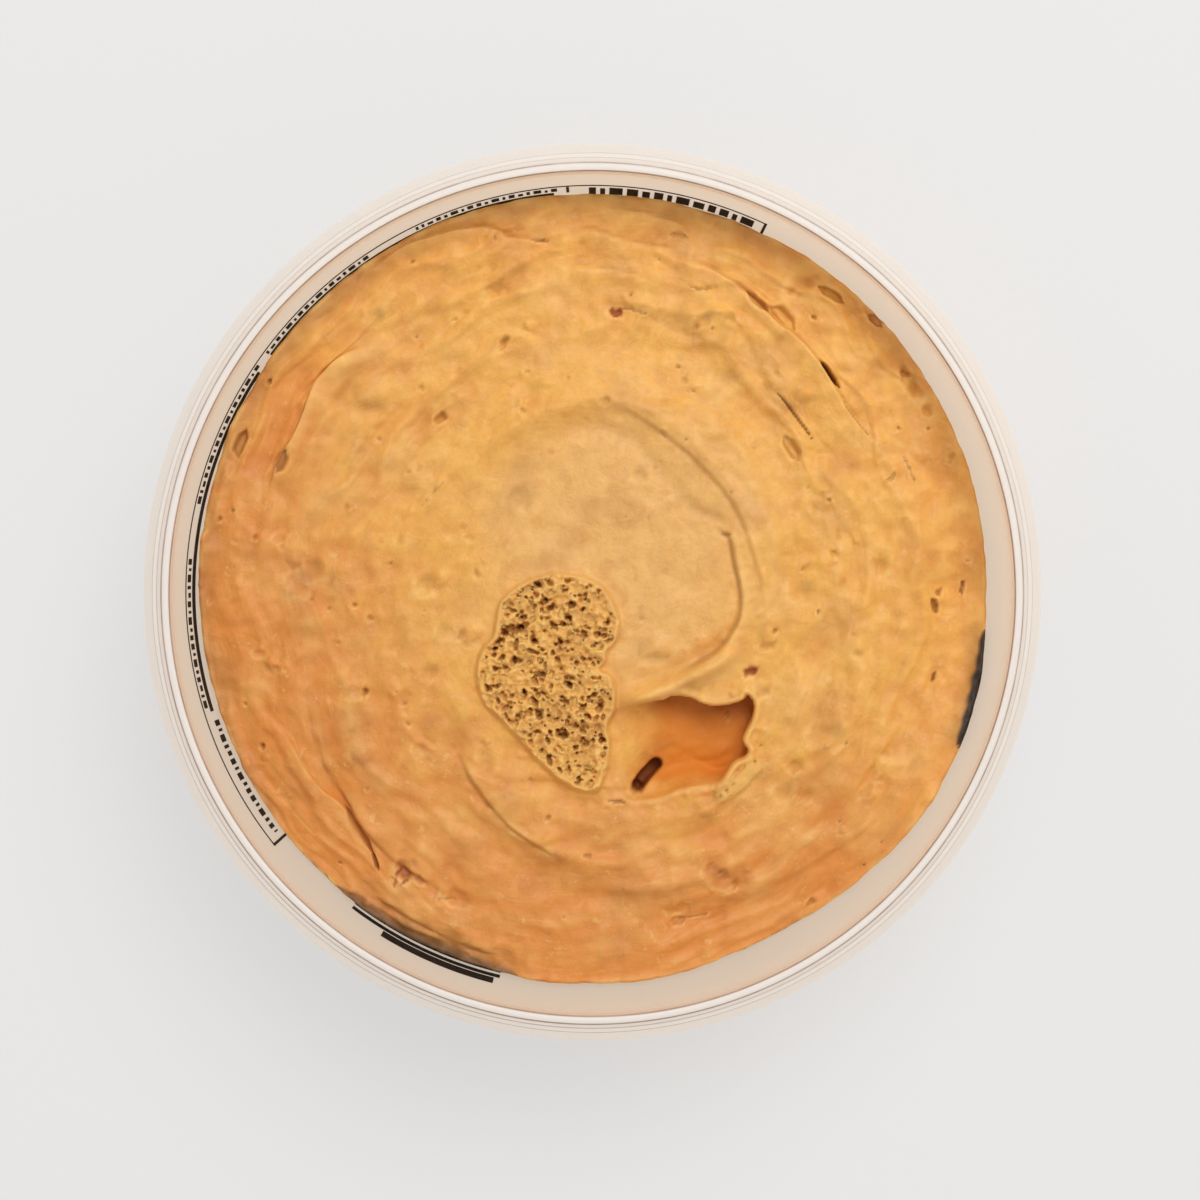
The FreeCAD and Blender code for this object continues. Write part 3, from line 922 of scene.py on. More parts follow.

# Ridges and, below nought, valleys: height, half width, darkness of painted shade, then the points.
RIDGES = (
    (-0.55, 0.9, 0.1, ((19.2, -3.9), (17.3, -6.1), (13.7, -8.3), (9.2, -10.3), (4.6, -12.0))),
    (2.1, 1.05, 0.0, ((20.5, -5.5), (18.6, -7.7), (15.0, -10.1), (10.0, -12.3), (5.0, -14.0),
                      (2.5, -15.2))),
    (0.55, 1.2, 0.0, ((-20.0, 9.0), (-17.0, 15.5), (-12.0, 20.8), (-5.0, 24.6), (0.0, 25.6), (5.0, 25.1),
                      (9.0, 23.5), (12.0, 21.2), (15.0, 18.4), (18.0, 15.0), (20.6, 11.0), (22.0, 6.0),
                      (22.6, 0.0), (22.0, -4.5))),
    (0.35, 0.7, 0.0, ((14.5, 21.0), (17.5, 18.0), (20.3, 15.2), (22.8, 11.0), (24.2, 6.0), (24.8, 0.0))),
    (-0.4, 1.1, 0.08, ((-9.0, 20.6), (-4.0, 22.0), (0.5, 22.2), (4.8, 20.7), (8.0, 17.6), (10.7, 14.2),
                       (13.3, 11.3), (17.3, 8.7))),
    (-0.5, 0.8, 0.25, ((11.5, 12.4), (14.0, 11.2), (16.0, 10.4), (18.2, 9.2))),
    (-0.45, 1.7, 0.0, ((-15.8, -12.0), (-13.8, -16.8), (-10.5, -20.8), (-7.0, -24.2), (-3.5, -27.0),
                      (0.5, -28.6), (4.5, -29.0))),
    (0.3, 1.3, 0.0, ((-16.0, -19.0), (-13.0, -24.0), (-9.0, -27.6), (-4.0, -30.3), (2.0, -31.2),
                      (9.0, -30.6))),
    (-0.7, 1.0, 0.15, ((-29.8, 29.8), (-31.6, 28.2), (-33.4, 26.0), (-34.5, 24.4))),
    (-0.6, 1.2, 0.05, ((-37.2, -13.5), (-36.6, -18.5), (-34.9, -23.5), (-33.2, -27.0), (-31.0, -30.5))),
    (0.25, 0.35, 0.0, ((-38.6, 22.5), (-39.8, 20.2), (-40.9, 18.0), (-42.3, 15.8))),
    (0.35, 0.5, 0.0, ((6.5, -22.8), (8.3, -21.2), (10.2, -20.3), (12.5, -19.5))),
    (0.35, 0.8, 0.0, ((40.2, -15.0), (43.0, -8.0), (44.4, 0.0), (44.2, 8.0))),
    (0.4, 1.0, 0.0, ((24.0, -33.0), (30.0, -29.0), (35.0, -24.0), (38.5, -17.5), (41.0, -10.0))),
    (0.35, 0.9, 0.0, ((-8.0, -38.0), (2.0, -39.5), (12.0, -38.5), (21.0, -35.5), (28.0, -31.0))),
    (-0.35, 1.3, 0.0, ((-14.0, -43.0), (-2.0, -46.0), (10.0, -45.5), (22.0, -41.5), (32.0, -35.0),
                       (40.0, -26.0))),
    (0.3, 1.0, 0.0, ((-10.0, -34.0), (0.0, -36.5), (8.0, -36.0), (15.0, -34.0), (21.0, -31.0))),
    (-0.35, 1.2, 0.0, ((4.0, -33.0), (12.0, -32.4), (19.0, -29.5))),
    (0.3, 0.8, 0.0, ((-43.5, -2.0), (-43.8, 6.0), (-42.5, 13.0), (-40.0, 19.0))),
    (-0.3, 0.9, 0.0, ((32.6, 14.0), (33.0, 10.0), (33.2, 5.0))),
    (0.25, 0.7, 0.0, ((35.5, 12.0), (36.5, 5.0), (36.2, -3.0), (34.5, -10.0))),
    (-0.3, 0.8, 0.1, ((2.0, 38.5), (6.0, 37.3), (10.0, 35.6), (14.5, 33.0))),
    (0.25, 0.7, 0.0, ((-23.0, 7.5), (-22.0, 12.0), (-19.0, 15.6), (-15.5, 18.5))),
    (-0.55, 0.8, 0.15, ((-14.6, -20.2), (-14.2, -22.0), (-13.4, -24.0))),
)

# Painted highlight along the crowns of rolls: strength, half width, then the points.
CREST_HIGHLIGHTS = (
    (0.7, 1.4, ((20.9, -6.2), (19.1, -8.5), (15.4, -10.9), (10.3, -13.0), (5.2, -14.5))),
    (0.55, 1.2, ((-27.0, 35.0), (-30.0, 32.6), (-33.0, 29.6), (-35.4, 26.4), (-37.0, 23.4))),
    (0.45, 0.9, ((9.0, -13.0), (12.5, -12.9), (16.0, -13.6), (18.6, -13.9))),
    (0.4, 0.9, ((23.4, 13.0), (24.0, 8.0), (23.8, 2.0), (22.8, -3.0))),
)

# Slits and lens-shaped openings: depth, half width, darkness of painted shade, rim, then the points.
SLITS = (
    (0.7, 0.55, 0.30, 0.25, ((20.2, 40.0), (21.3, 38.7), (22.4, 37.8), (23.3, 37.1))),
    (0.8, 1.05, 0.22, 0.30, ((23.2, 38.0), (24.3, 37.2), (25.4, 36.0), (26.9, 34.6))),
    (1.6, 0.38, 1.00, 0.12, ((29.8, 31.0), (30.7, 29.9), (31.6, 28.6), (32.8, 27.0))),
    (0.7, 0.20, 0.80, 0.12, ((23.9, 27.2), (26.1, 24.6), (27.9, 22.2), (29.5, 19.8))),
    (0.5, 0.16, 0.45, 0.06, ((32.9, 26.6), (33.1, 25.0), (34.8, 22.8), (37.0, 20.3))),
    (0.7, 0.70, 0.35, 0.20, ((25.3, 21.2), (25.9, 20.0), (26.8, 18.6), (27.5, 17.4))),
    (0.3, 0.14, 0.40, 0.05, ((41.0, 18.6), (41.8, 17.0), (42.8, 14.6))),
    (0.4, 0.25, 0.30, 0.10, ((40.0, 16.4), (39.6, 15.3), (38.4, 14.8))),
    (0.4, 0.14, 0.35, 0.05, ((12.5, 40.9), (14.0, 40.2), (16.5, 40.5))),
    (0.4, 0.30, 0.35, 0.10, ((10.0, 47.3), (11.4, 47.4), (12.8, 46.9))),
    (1.0, 0.50, 0.75, 0.15, ((-39.9, 19.0), (-40.5, 17.6), (-41.7, 15.6))),
    (0.9, 0.62, 0.55, 0.15, ((-45.8, 22.0), (-46.4, 20.6), (-47.0, 19.2), (-47.0, 17.8))),
    (0.5, 0.25, 0.60, 0.08, ((-8.2, 46.5), (-7.0, 46.5), (-5.7, 46.4))),
    (0.9, 0.30, 0.80, 0.10, ((-29.7, -34.4), (-29.1, -35.8), (-28.6, -37.3))),
    (0.9, 0.60, 0.25, 0.00, ((-33.6, -28.0), (-32.0, -30.8), (-30.4, -33.4), (-29.3, -35.4))),
    (0.3, 0.12, 0.40, 0.05, ((-21.2, -41.0), (-20.0, -40.8), (-18.0, -41.0))),
    (0.4, 0.15, 0.35, 0.05, ((10.2, -43.8), (11.5, -43.6), (13.5, -43.4), (16.5, -43.0))),
    (0.3, 0.55, 0.25, 0.10, ((10.2, -43.9), (11.4, -43.9), (12.6, -43.7))),
    (1.1, 0.45, 0.70, 0.15, ((45.1, -0.4), (45.5, -1.5), (45.8, -2.8))),
    (0.7, 0.22, 0.85, 0.05, ((45.6, -10.2), (45.5, -11.0), (45.2, -11.9))),
    (0.7, 0.28, 0.80, 0.08, ((49.5, 2.0), (49.3, 0.8), (49.2, -0.4))),
    (0.4, 0.14, 0.50, 0.05, ((3.0, 37.9), (5.0, 37.6), (8.0, 36.6))),
    (0.5, 0.20, 0.60, 0.08, ((1.9, -27.4), (3.0, -27.6), (4.6, -27.7))),
    (0.6, 0.50, 0.50, 0.10, ((36.4, 37.0), (37.4, 36.2), (38.3, 35.2))),
    (0.6, 0.55, 0.40, 0.10, ((29.6, 40.8), (30.8, 40.0), (31.9, 39.4), (33.4, 38.2))),
    (0.3, 0.10, 0.30, 0.05, ((-23.0, 11.0), (-21.0, 13.5), (-19.0, 15.2))),
)

# Pits and, below nought, bumps: x, y, size, depth, how drawn out, turn, darkness of painted
# shade, and, where there are any, the rim and the stain.
SPOTS = (
    (-42.7, 28.0, 0.38, 0.6, 1.2, 60, 0.9), (-20.0, 23.3, 0.8, 0.7, 1.1, 30, 0.5, 0.1, 0.3),
    (-11.7, 33.3, 0.55, 0.6, 1.9, 60, 0.6, 0.1, 0.2), (-23.7, 43.7, 0.3, 0.4, 1.4, 20, 0.8, 0.05),
    (-28.3, 20.5, 0.3, 0.3, 1.3, 120, 0.5, 0.05), (-24.3, 16.1, 0.28, 0.3, 1.4, 40, 0.4, 0.05),
    (-26.8, 4.0, 0.25, 0.4, 1.0, 0, 0.8), (-44.7, 7.5, 0.45, 0.4, 1.2, 30, 0.4, 0.05),
    (-47.7, 11.0, 0.3, 0.4, 1.0, 0, 0.8), (-49.5, 9.9, 0.3, 0.4, 1.6, 80, 0.7, 0.0, 0.3),
    (-23.2, 33.9, 0.22, 0.3, 1.0, 0, 0.8), (-9.2, 24.2, 0.4, 0.3, 1.5, 150, 0.4, 0.05),
    (-12.8, 46.6, 0.2, 0.3, 1.0, 0, 0.8), (-15.3, 2.6, 0.4, 0.4, 2.0, 100, 0.45, 0.05),
    (-41.5, 7.4, 0.6, 0.25, 1.5, 20, 0.15, 0.05), (-32.5, 11.5, 0.35, 0.3, 2.0, 60, 0.3, 0.05),
    (-18.2, 36.2, 0.25, 0.25, 1.8, 10, 0.4, 0.08), (-8.6, 29.3, 0.3, 0.3, 1.4, 20, 0.4, 0.06),
    (-3.2, 28.5, 0.3, 0.25, 1.4, 140, 0.3, 0.06), (-22.6, 27.2, 0.45, 0.25, 1.3, 150, 0.25, 0.06),
    (-28.5, 36.5, 1.1, 0.35, 1.2, 20, 0.1, 0.15), (-29.0, 27.0, 2.2, -0.3, 1.0, 0, 0, -0.15),
    (-9.3, 12.7, 1.9, 0.1, 1.0, 0, 0.0, 0.28), (-16.3, 7.5, 0.7, 0.15, 1.1, 0, 0.15, 0.1),
    (-8.0, 35.4, 0.8, -0.25, 1.2, 0, 0, -0.1), (-12.7, 40.2, 0.9, 0.25, 1.6, 30, 0.12, 0.08),
    (-22.0, 1.3, 1.4, 0.35, 1.2, 40, 0.1, 0.12), (-20.2, 2.0, 1.1, -0.25, 1.2, 0, 0),
    (-36.9, 3.2, 1.5, 0.35, 1.0, 0, 0.1, 0.2), (-38.7, 1.6, 1.6, 0.25, 1.3, 60, 0.1, 0.15),
    (-39.5, 4.5, 0.9, -0.3, 1.1, 30, 0), (-32.5, 2.5, 1.7, -0.25, 1.4, 50, 0, -0.1),
    (11.3, 30.0, 0.32, 0.4, 1.0, 0, 0.9), (13.3, 26.8, 0.28, 0.3, 1.3, 130, 0.6, 0.08),
    (18.3, 13.5, 0.26, 0.4, 1.0, 0, 0.9), (31.2, 12.4, 0.36, 0.4, 1.0, 0, 0.8, 0.05),
    (40.5, 21.9, 0.3, 0.4, 1.2, 150, 0.8), (44.5, 21.9, 0.3, 0.4, 1.0, 0, 0.8),
    (29.2, 36.5, 0.35, 0.5, 1.2, 150, 0.8, 0.05), (5.1, 39.4, 0.25, 0.4, 1.0, 0, 0.9),
    (8.8, 44.1, 0.25, 0.4, 1.0, 0, 0.8, 0.05), (1.8, 25.5, 0.6, 0.3, 1.5, 10, 0.35, 0.05),
    (3.2, 37.2, 0.62, 0.6, 1.7, -5, 0.9, 0.0, 0.9), (6.4, 15.7, 1.1, 0.25, 1.0, 0, 0.15, 0.22),
    (8.3, 16.6, 0.35, 0.25, 1.0, 0, 0.3, 0.1), (38.2, 3.9, 1.3, 0.3, 1.0, 0, 0.15, 0.2),
    (28.0, 26.6, 1.1, -0.35, 1.0, 0, 0, -0.2), (17.5, 28.2, 1.5, 0.2, 1.3, 20, 0.1, 0.15),
    (12.2, 28.2, 0.5, 0.2, 1.3, 0, 0.25, 0.1), (31.9, 5.4, 0.5, 0.3, 1.6, 150, 0.45, 0.05),
    (27.7, 3.2, 0.28, 0.3, 1.0, 0, 0.6), (4.4, 10.2, 0.25, 0.25, 1.0, 0, 0.5),
    (17.8, 7.8, 0.35, 0.35, 2.0, 160, 0.5, 0.05, 0.3), (9.4, 21.2, 0.3, 0.3, 2.2, 130, 0.5, 0.05),
    (12.3, 20.4, 0.25, 0.3, 1.0, 0, 0.8), (21.3, 19.2, 0.25, 0.25, 1.0, 0, 0.4, 0.05),
    (15.5, 36.8, 3.4, -0.35, 1.0, 0, 0, -0.2), (15.0, 36.4, 1.0, 0.3, 1.6, 30, 0.2, 0.1, 0.15),
    (18.2, 36.6, 0.9, 0.25, 1.0, 0, 0.1, 0.1), (13.6, 35.2, 0.35, 0.3, 2.0, 40, 0.4, 0.05),
    (15.8, 35.0, 0.2, 0.3, 1.5, 0, 0.7), (24.3, 29.0, 0.35, 0.3, 2.0, 120, 0.25, 0.1),
    (27.8, 40.5, 1.3, 0.3, 1.7, 20, 0.12, 0.1), (26.3, 39.8, 0.6, 0.25, 1.0, 0, 0.2, 0.1),
    (42.3, 28.0, 1.1, 0.8, 2.2, -57, 0.3, 0.15, 0.1), (41.3, 29.2, 0.5, 0.5, 1.8, -10, 0.55, 0.1),
    (44.4, 24.4, 0.7, 0.4, 1.4, -60, 0.25, 0.1), (47.6, 18.0, 0.5, 0.3, 1.6, 60, 0.25, 0.05, 0.3),
    (46.1, 0.2, 0.5, 0.5, 1.1, 0, 0.6, 0.05, 0.5), (35.0, 7.0, 0.4, -0.2, 1.0, 0, 0),
    (29.5, 11.2, 0.5, 0.25, 2.2, 100, 0.15, 0.05), (28.4, 14.0, 0.25, 0.25, 1.5, 40, 0.4, 0.05),
    (30.6, 13.2, 0.5, 0.25, 1.8, 30, 0.25, 0.05), (50.0, 4.3, 0.25, 0.3, 1.0, 0, 0.7),
    (29.9, -2.4, 0.28, 0.4, 1.3, 90, 0.9, 0.0, 0.4), (32.9, -30.5, 0.24, 0.3, 1.0, 0, 0.8),
    (8.6, -6.9, 1.9, -0.5, 1.1, 0, 0), (8.6, -8.5, 1.0, 0.35, 1.9, 5, 0.06),
    (23.3, -5.6, 1.2, -0.25, 1.0, 0, 0, -0.25), (24.2, -4.9, 0.35, 0.5, 1.3, 60, 0.8, 0.0, 0.3),
    (23.0, -7.0, 0.6, 0.3, 2.0, 10, 0.2, 0.05), (20.9, -10.3, 0.75, 0.6, 1.3, 20, 0.75, 0.08, 0.9),
    (22.6, -12.9, 0.9, 0.15, 1.2, -20, 0.12, 0.05, 0.18), (27.6, 0.6, 1.5, 0.25, 1.3, 0, 0.1, 0.05),
    (35.2, -8.0, 0.7, 0.3, 1.2, -10, 0.15, 0.05), (34.5, -5.4, 0.3, 0.2, 1.4, -20, 0.3),
    (6.4, -3.3, 0.4, 0.2, 1.3, 20, 0.25, 0.05), (15.0, -28.5, 1.2, -0.35, 1.3, -10, 0),
    (13.0, -12.6, 1.4, 0.25, 1.2, -20, 0.05, 0.1), (18.6, -13.2, 0.5, -0.3, 1.0, 0, 0),
    (31.2, -18.4, 2.0, 0.2, 1.1, 20, 0.04, 0.12), (31.2, -20.2, 0.3, -0.25, 1.4, 30, 0),
    (27.0, -23.0, 0.9, 0.25, 1.3, 10, 0.15, 0.08), (28.2, -26.6, 1.0, 0.25, 1.2, -10, 0.12, 0.1),
    (25.5, -26.3, 1.2, 0.2, 1.1, 40, 0.08, 0.08), (36.5, -26.3, 0.7, 0.25, 1.6, 40, 0.12, 0.05),
    (38.3, -24.6, 0.5, 0.2, 1.5, 50, 0.12, 0.05), (38.9, -21.4, 0.6, 0.2, 1.3, 60, 0.12, 0.05),
    (22.3, -20.2, 0.2, 0.25, 1.0, 0, 0.7), (33.7, -19.9, 0.22, 0.25, 1.0, 0, 0.6, 0.0, 0.4),
    (33.4, -31.5, 0.45, -0.3, 1.2, 40, 0), (20.7, -36.8, 0.4, -0.2, 1.2, 0, 0),
    (16.9, -37.6, 1.6, 0.35, 1.2, -30, 0.1, 0.1, 0.22), (16.0, -39.6, 0.35, -0.3, 1.2, 30, 0),
    (19.0, -38.8, 0.5, 0.3, 1.6, 70, 0.15, 0.1, 0.1), (17.0, -37.3, 0.25, 0.3, 1.2, 30, 0.5, 0.0, 0.5),
    (4.3, -39.1, 0.25, -0.2, 1.0, 0, 0), (6.5, -44.1, 0.25, -0.2, 1.0, 0, 0),
    (10.8, -46.9, 0.3, -0.2, 1.0, 0, 0), (4.3, -48.2, 0.25, -0.2, 1.0, 0, 0),
    (29.4, -41.5, 0.45, 0.3, 1.8, 40, 0.3, 0.05, 0.3), (38.6, -33.2, 0.2, 0.3, 1.0, 0, 0.7, 0.0, 0.3),
    (36.3, -36.4, 0.2, 0.3, 1.0, 0, 0.7, 0.0, 0.3), (-30.2, -13.0, 0.42, 0.7, 2.2, 88, 0.85, 0.1, 0.3),
    (-31.5, -12.8, 1.2, 0.25, 1.2, 60, 0.1, 0.1), (-44.1, -20.5, 0.42, 0.6, 1.2, 60, 0.85, 0.05, 0.3),
    (-43.8, -22.0, 0.5, -0.2, 1.0, 0, 0), (-31.6, -1.5, 0.38, 0.5, 1.1, 30, 0.75, 0.05),
    (-29.5, -3.2, 0.45, 0.3, 1.2, 0, 0.35, 0.05, 0.3), (-46.4, -14.8, 0.22, 0.35, 1.8, 120, 0.6, 0.05),
    (-42.6, -9.4, 0.9, -0.4, 1.2, 110, 0, -0.15), (-42.1, -9.9, 0.45, 0.3, 1.4, 120, 0.25, 0, 0.1),
    (-44.4, -8.0, 0.7, 0.25, 1.1, 0, 0.1, 0.05), (-19.6, -4.9, 1.0, 0.25, 1.3, 80, 0.06, 0.15),
    (-15.9, -5.0, 1.3, -0.35, 1.2, 20, 0), (-17.3, -5.3, 0.45, 0.4, 2.0, 60, 0.25),
    (-21.6, -10.3, 1.1, 0.3, 1.2, 30, 0.12, 0.12), (-22.9, -20.6, 0.9, 0.2, 1.2, 60, 0.05, 0.1),
    (-24.5, -17.3, 0.25, 0.3, 1.8, 130, 0.5, 0.05), (-25.0, -14.6, 0.3, 0.2, 1.6, 20, 0.3, 0.05),
    (-22.3, -2.3, 0.2, 0.25, 1.0, 0, 0.5), (-24.8, -10.0, 0.2, 0.25, 1.0, 0, 0.6),
    (-26.1, -13.0, 0.18, 0.25, 1.0, 0, 0.6), (-34.9, -2.0, 0.28, 0.3, 1.2, 160, 0.4, 0.05),
    (-37.3, -0.8, 0.22, 0.3, 1.0, 0, 0.6), (-33.8, -6.5, 0.22, 0.2, 1.0, 0, 0.35),
    (-13.9, -19.5, 0.4, -0.2, 1.8, 20, 0), (-8.3, -24.7, 0.3, 0.25, 1.4, 10, 0.35, 0.05),
    (-5.9, -29.8, 0.35, 0.3, 1.6, 50, 0.45, 0.1, 0.2), (-0.8, -34.8, 0.4, 0.25, 1.6, 0, 0.4, 0.08, 0.2),
    (-4.0, -34.4, 0.8, -0.25, 1.1, 0, 0), (-34.0, -36.2, 0.3, 0.3, 1.0, 0, 0.5, 0.0, 0.5),
    (-24.9, -36.7, 1.25, 0.5, 1.4, 60, 0.25, 0.1, 0.75),
    (-25.9, -37.2, 0.3, 0.25, 4.0, 50, 0.5, 0.0, 0.85), (-25.0, -38.4, 0.25, 0.2, 3.4, 35, 0.4, 0.0, 0.8),
    (-26.4, -38.6, 0.25, 0.2, 3.0, 80, 0.3, 0.0, 0.7), (-24.9, -36.8, 0.2, 0.2, 3.0, 100, 0.3, 0.0, 0.7),
    (-23.4, -38.0, 0.7, 0.3, 2.0, -30, 0.25, 0.05, 0.4), (-17.9, -40.6, 1.2, 0.25, 1.6, -20, 0.08, 0.1),
    (-30.0, -26.0, 0.3, 0.2, 1.5, 60, 0.25, 0.05, 0.2), (-30.4, -21.4, 1.1, -0.2, 1.2, 30, 0, -0.1),
    (-32.6, -22.7, 0.25, 0.2, 1.4, 40, 0.3, 0.05), (-3.8, -43.2, 0.25, 0.2, 1.0, 0, 0.4, 0.0, 0.2),
    (-47.5, 7.0, 0.4, 0.2, 1.0, 0, 0.2),
)

# Larger openings in the torn crumb: x, y, size, how drawn out, turn.
CRUMB_HOLES = (
    (-6.4, -1.0, 0.55, 1.3, 20), (-9.3, -3.2, 0.45, 1.6, 25), (-10.7, -4.8, 0.85, 1.9, 10),
    (-10.1, -6.6, 0.35, 2.6, 85), (-5.1, -4.2, 0.35, 2.4, 125), (-1.1, -5.3, 0.55, 1.2, 70),
    (0.6, -5.4, 0.5, 1.2, 60), (-2.9, -1.4, 0.55, 1.2, 0), (-2.9, -3.3, 0.25, 2.0, 120),
    (-13.9, -12.5, 0.55, 1.2, 150), (-3.8, -14.0, 0.5, 1.7, 145), (-7.1, -16.0, 0.45, 2.2, 110),
    (-3.9, -18.5, 0.75, 1.2, 140), (-5.6, -18.5, 0.25, 1.8, 130), (-1.3, -18.1, 0.4, 1.8, 135),
    (-0.8, -19.8, 0.5, 1.0, 0), (-2.2, -20.4, 0.4, 1.2, 60), (-4.6, -8.7, 0.35, 1.5, 130),
    (-7.0, -10.6, 0.5, 1.5, 170), (-7.9, -7.6, 0.35, 2.4, 160), (-10.5, -8.9, 0.5, 1.4, 80),
    (-12.0, -8.4, 0.4, 1.4, 45), (1.8, -3.9, 0.4, 1.3, 40), (2.3, -6.3, 0.55, 1.2, 20),
    (1.2, -19.4, 0.5, 1.0, 0), (2.6, -13.9, 0.3, 1.2, 10), (-8.9, -13.0, 0.3, 1.8, 110),
    (-4.3, -6.4, 0.25, 2.4, 120), (-2.0, -4.9, 0.3, 2.0, 150), (-1.0, -0.3, 0.4, 1.4, 80),
    (-12.6, -5.9, 0.6, 1.3, 120), (-3.2, -12.0, 0.5, 1.5, 150), (0.9, -15.2, 0.5, 1.2, 60),
    (-11.4, -16.2, 0.3, 2.0, 120), (-4.3, -23.4, 0.25, 2.2, 120), (-5.7, -21.5, 0.25, 1.6, 170),
    (1.9, -22.0, 0.35, 1.4, 60), (-1.7, -0.2, 0.25, 1.6, 0), (-13.1, -7.4, 0.25, 1.4, 0),
)


def swirl_streaks(x, y):
    """Fine drag marks left by the spatula, drawn out round the tub."""
    radius = np.hypot(x - 0.5, y - 1.0)
    angle = np.arctan2(y - 1.0, x - 0.5)
    drift = swell(x, y, 16.0, 5) * 2.6
    fine = swell(radius + drift, angle * 9.0, 1.25, 11)
    broad = swell(radius + drift * 1.6, angle * 8.0, 2.9, 12)
    return fine * 0.5 + broad * 0.8, radius, angle, drift


def press_face(face, spread, tub):
    """Lays every form of the spread's face down, broad ones first."""
    rim = wall_inside(tub, tub.height - spread.fill_drop)
    share = np.hypot(face.x, face.y) / rim
    face.lift += spread.fill_tilt * face.y / rim + spread.crown_rise * (1.0 - share ** 3)
    for x, y, radius, start, end, rise, width in SWIRLS:
        angles = np.radians(np.linspace(start, end, 9))
        points = [(x + radius * math.cos(a), y + radius * math.sin(a)) for a in angles]
        points = [p for p in points if math.hypot(*p) < rim + 2]
        face.ridge(points, rise, width)

    streaks, radius, angle, drift = swirl_streaks(face.x, face.y)
    outer = smooth(20.0, 30.0, radius)
    low_side = 0.45 + 0.55 * smooth(-0.2, 0.9, np.sin(-angle + 0.35))
    calm = smooth(0.0, 0.5, face.swell(17.0, 3) + 0.45)
    face.lift += streaks * 0.38 * outer * low_side * (0.35 + 0.65 * calm)
    face.lift += face.swell(12.0, 1) * 0.28
    rough = 0.55 + 0.45 * outer
    drawn = swell(radius + face.swell(11.0, 6) * 3.0, angle * 6.0, 2.2, 7)
    face.lift += smooth(0.1, 0.5, drawn) * 0.4 * outer
    waves = face.swell(5.0, 4) * 0.32 + face.swell(2.4, 2) * 0.30
    face.lift += waves * rough
    face.lift += face.swell(1.3, 10) * 0.15 * rough
    lumps = smooth(0.2, 0.75, face.swell(1.7, 8)) * smooth(0.0, 0.5, face.swell(9.0, 9))
    face.lift += lumps * 0.34
    face.marks["streak"] = np.clip(0.5 + streaks * 0.5 * outer, 0.0, 1.0)
    face.marks["swirl"] = (radius + drift) / SWIRL_SPAN
    pool = 1.0 - smooth(8.0, 25.0, np.hypot(face.x - 5.0, face.y - 7.0))
    face.marks["middle"] = np.clip(pool + 0.3 * face.swell(9.0, 21), 0.0, 1.0)
    # Painted shade: darker towards the lower left, away from the lamp, and in the valleys of the waves;
    # darker towards the wall; random deeper patches on top.
    lower = smooth(-0.5, 0.9, (-0.58 * face.x - 0.8 * face.y) / np.maximum(radius, 1.0))
    deeper_and_shaded = smooth(12.0, 42.0, radius) * lower * 0.95
    deeper_and_shaded += 0.65 * smooth(34.0, 50.0, radius) * (0.5 + 0.5 * lower)
    deeper_and_shaded += 0.22 * face.swell(7.0, 22) - 0.95 * waves
    face.marks["deeper_and_shaded"] = np.clip(deeper_and_shaded, 0.0, 1.0)
    # Painted highlight on the crowns of the waves and streaks.
    crests = smooth(0.1, 0.6, waves * rough + streaks * 0.3 * outer * low_side)
    face.mark("smear_and_highlight", slice(None), crests * 0.34 * (1.0 - 0.6 * pool))

    tan = 0.15 * smooth(0.1, 0.7, face.swell(7.0, 23))
    tan += 0.10 * smooth(0.15, 0.7, face.swell(2.6, 24))
    face.mark("stain", slice(None), tan)

    for height, width, dark, points in RIDGES:
        face.ridge(points, height, width, dark=dark)
    for amount, width, points in CREST_HIGHLIGHTS:
        band, gap, _, along = face.near(curve_through(points), width * 2.7)
        face.mark("smear_and_highlight", band, amount * np.exp(-((gap / width) ** 2)) * ends(along, 0.2))
    for height, width, lean, crease, points in FOLDS:
        face.fold(points, height, width, lean=lean, crease=crease)
    for depth, width, dark, edge, points in SLITS:
        face.slit(points, depth, width, dark=dark, rim=edge)
    for spot in SPOTS:
        face.spot(*spot)


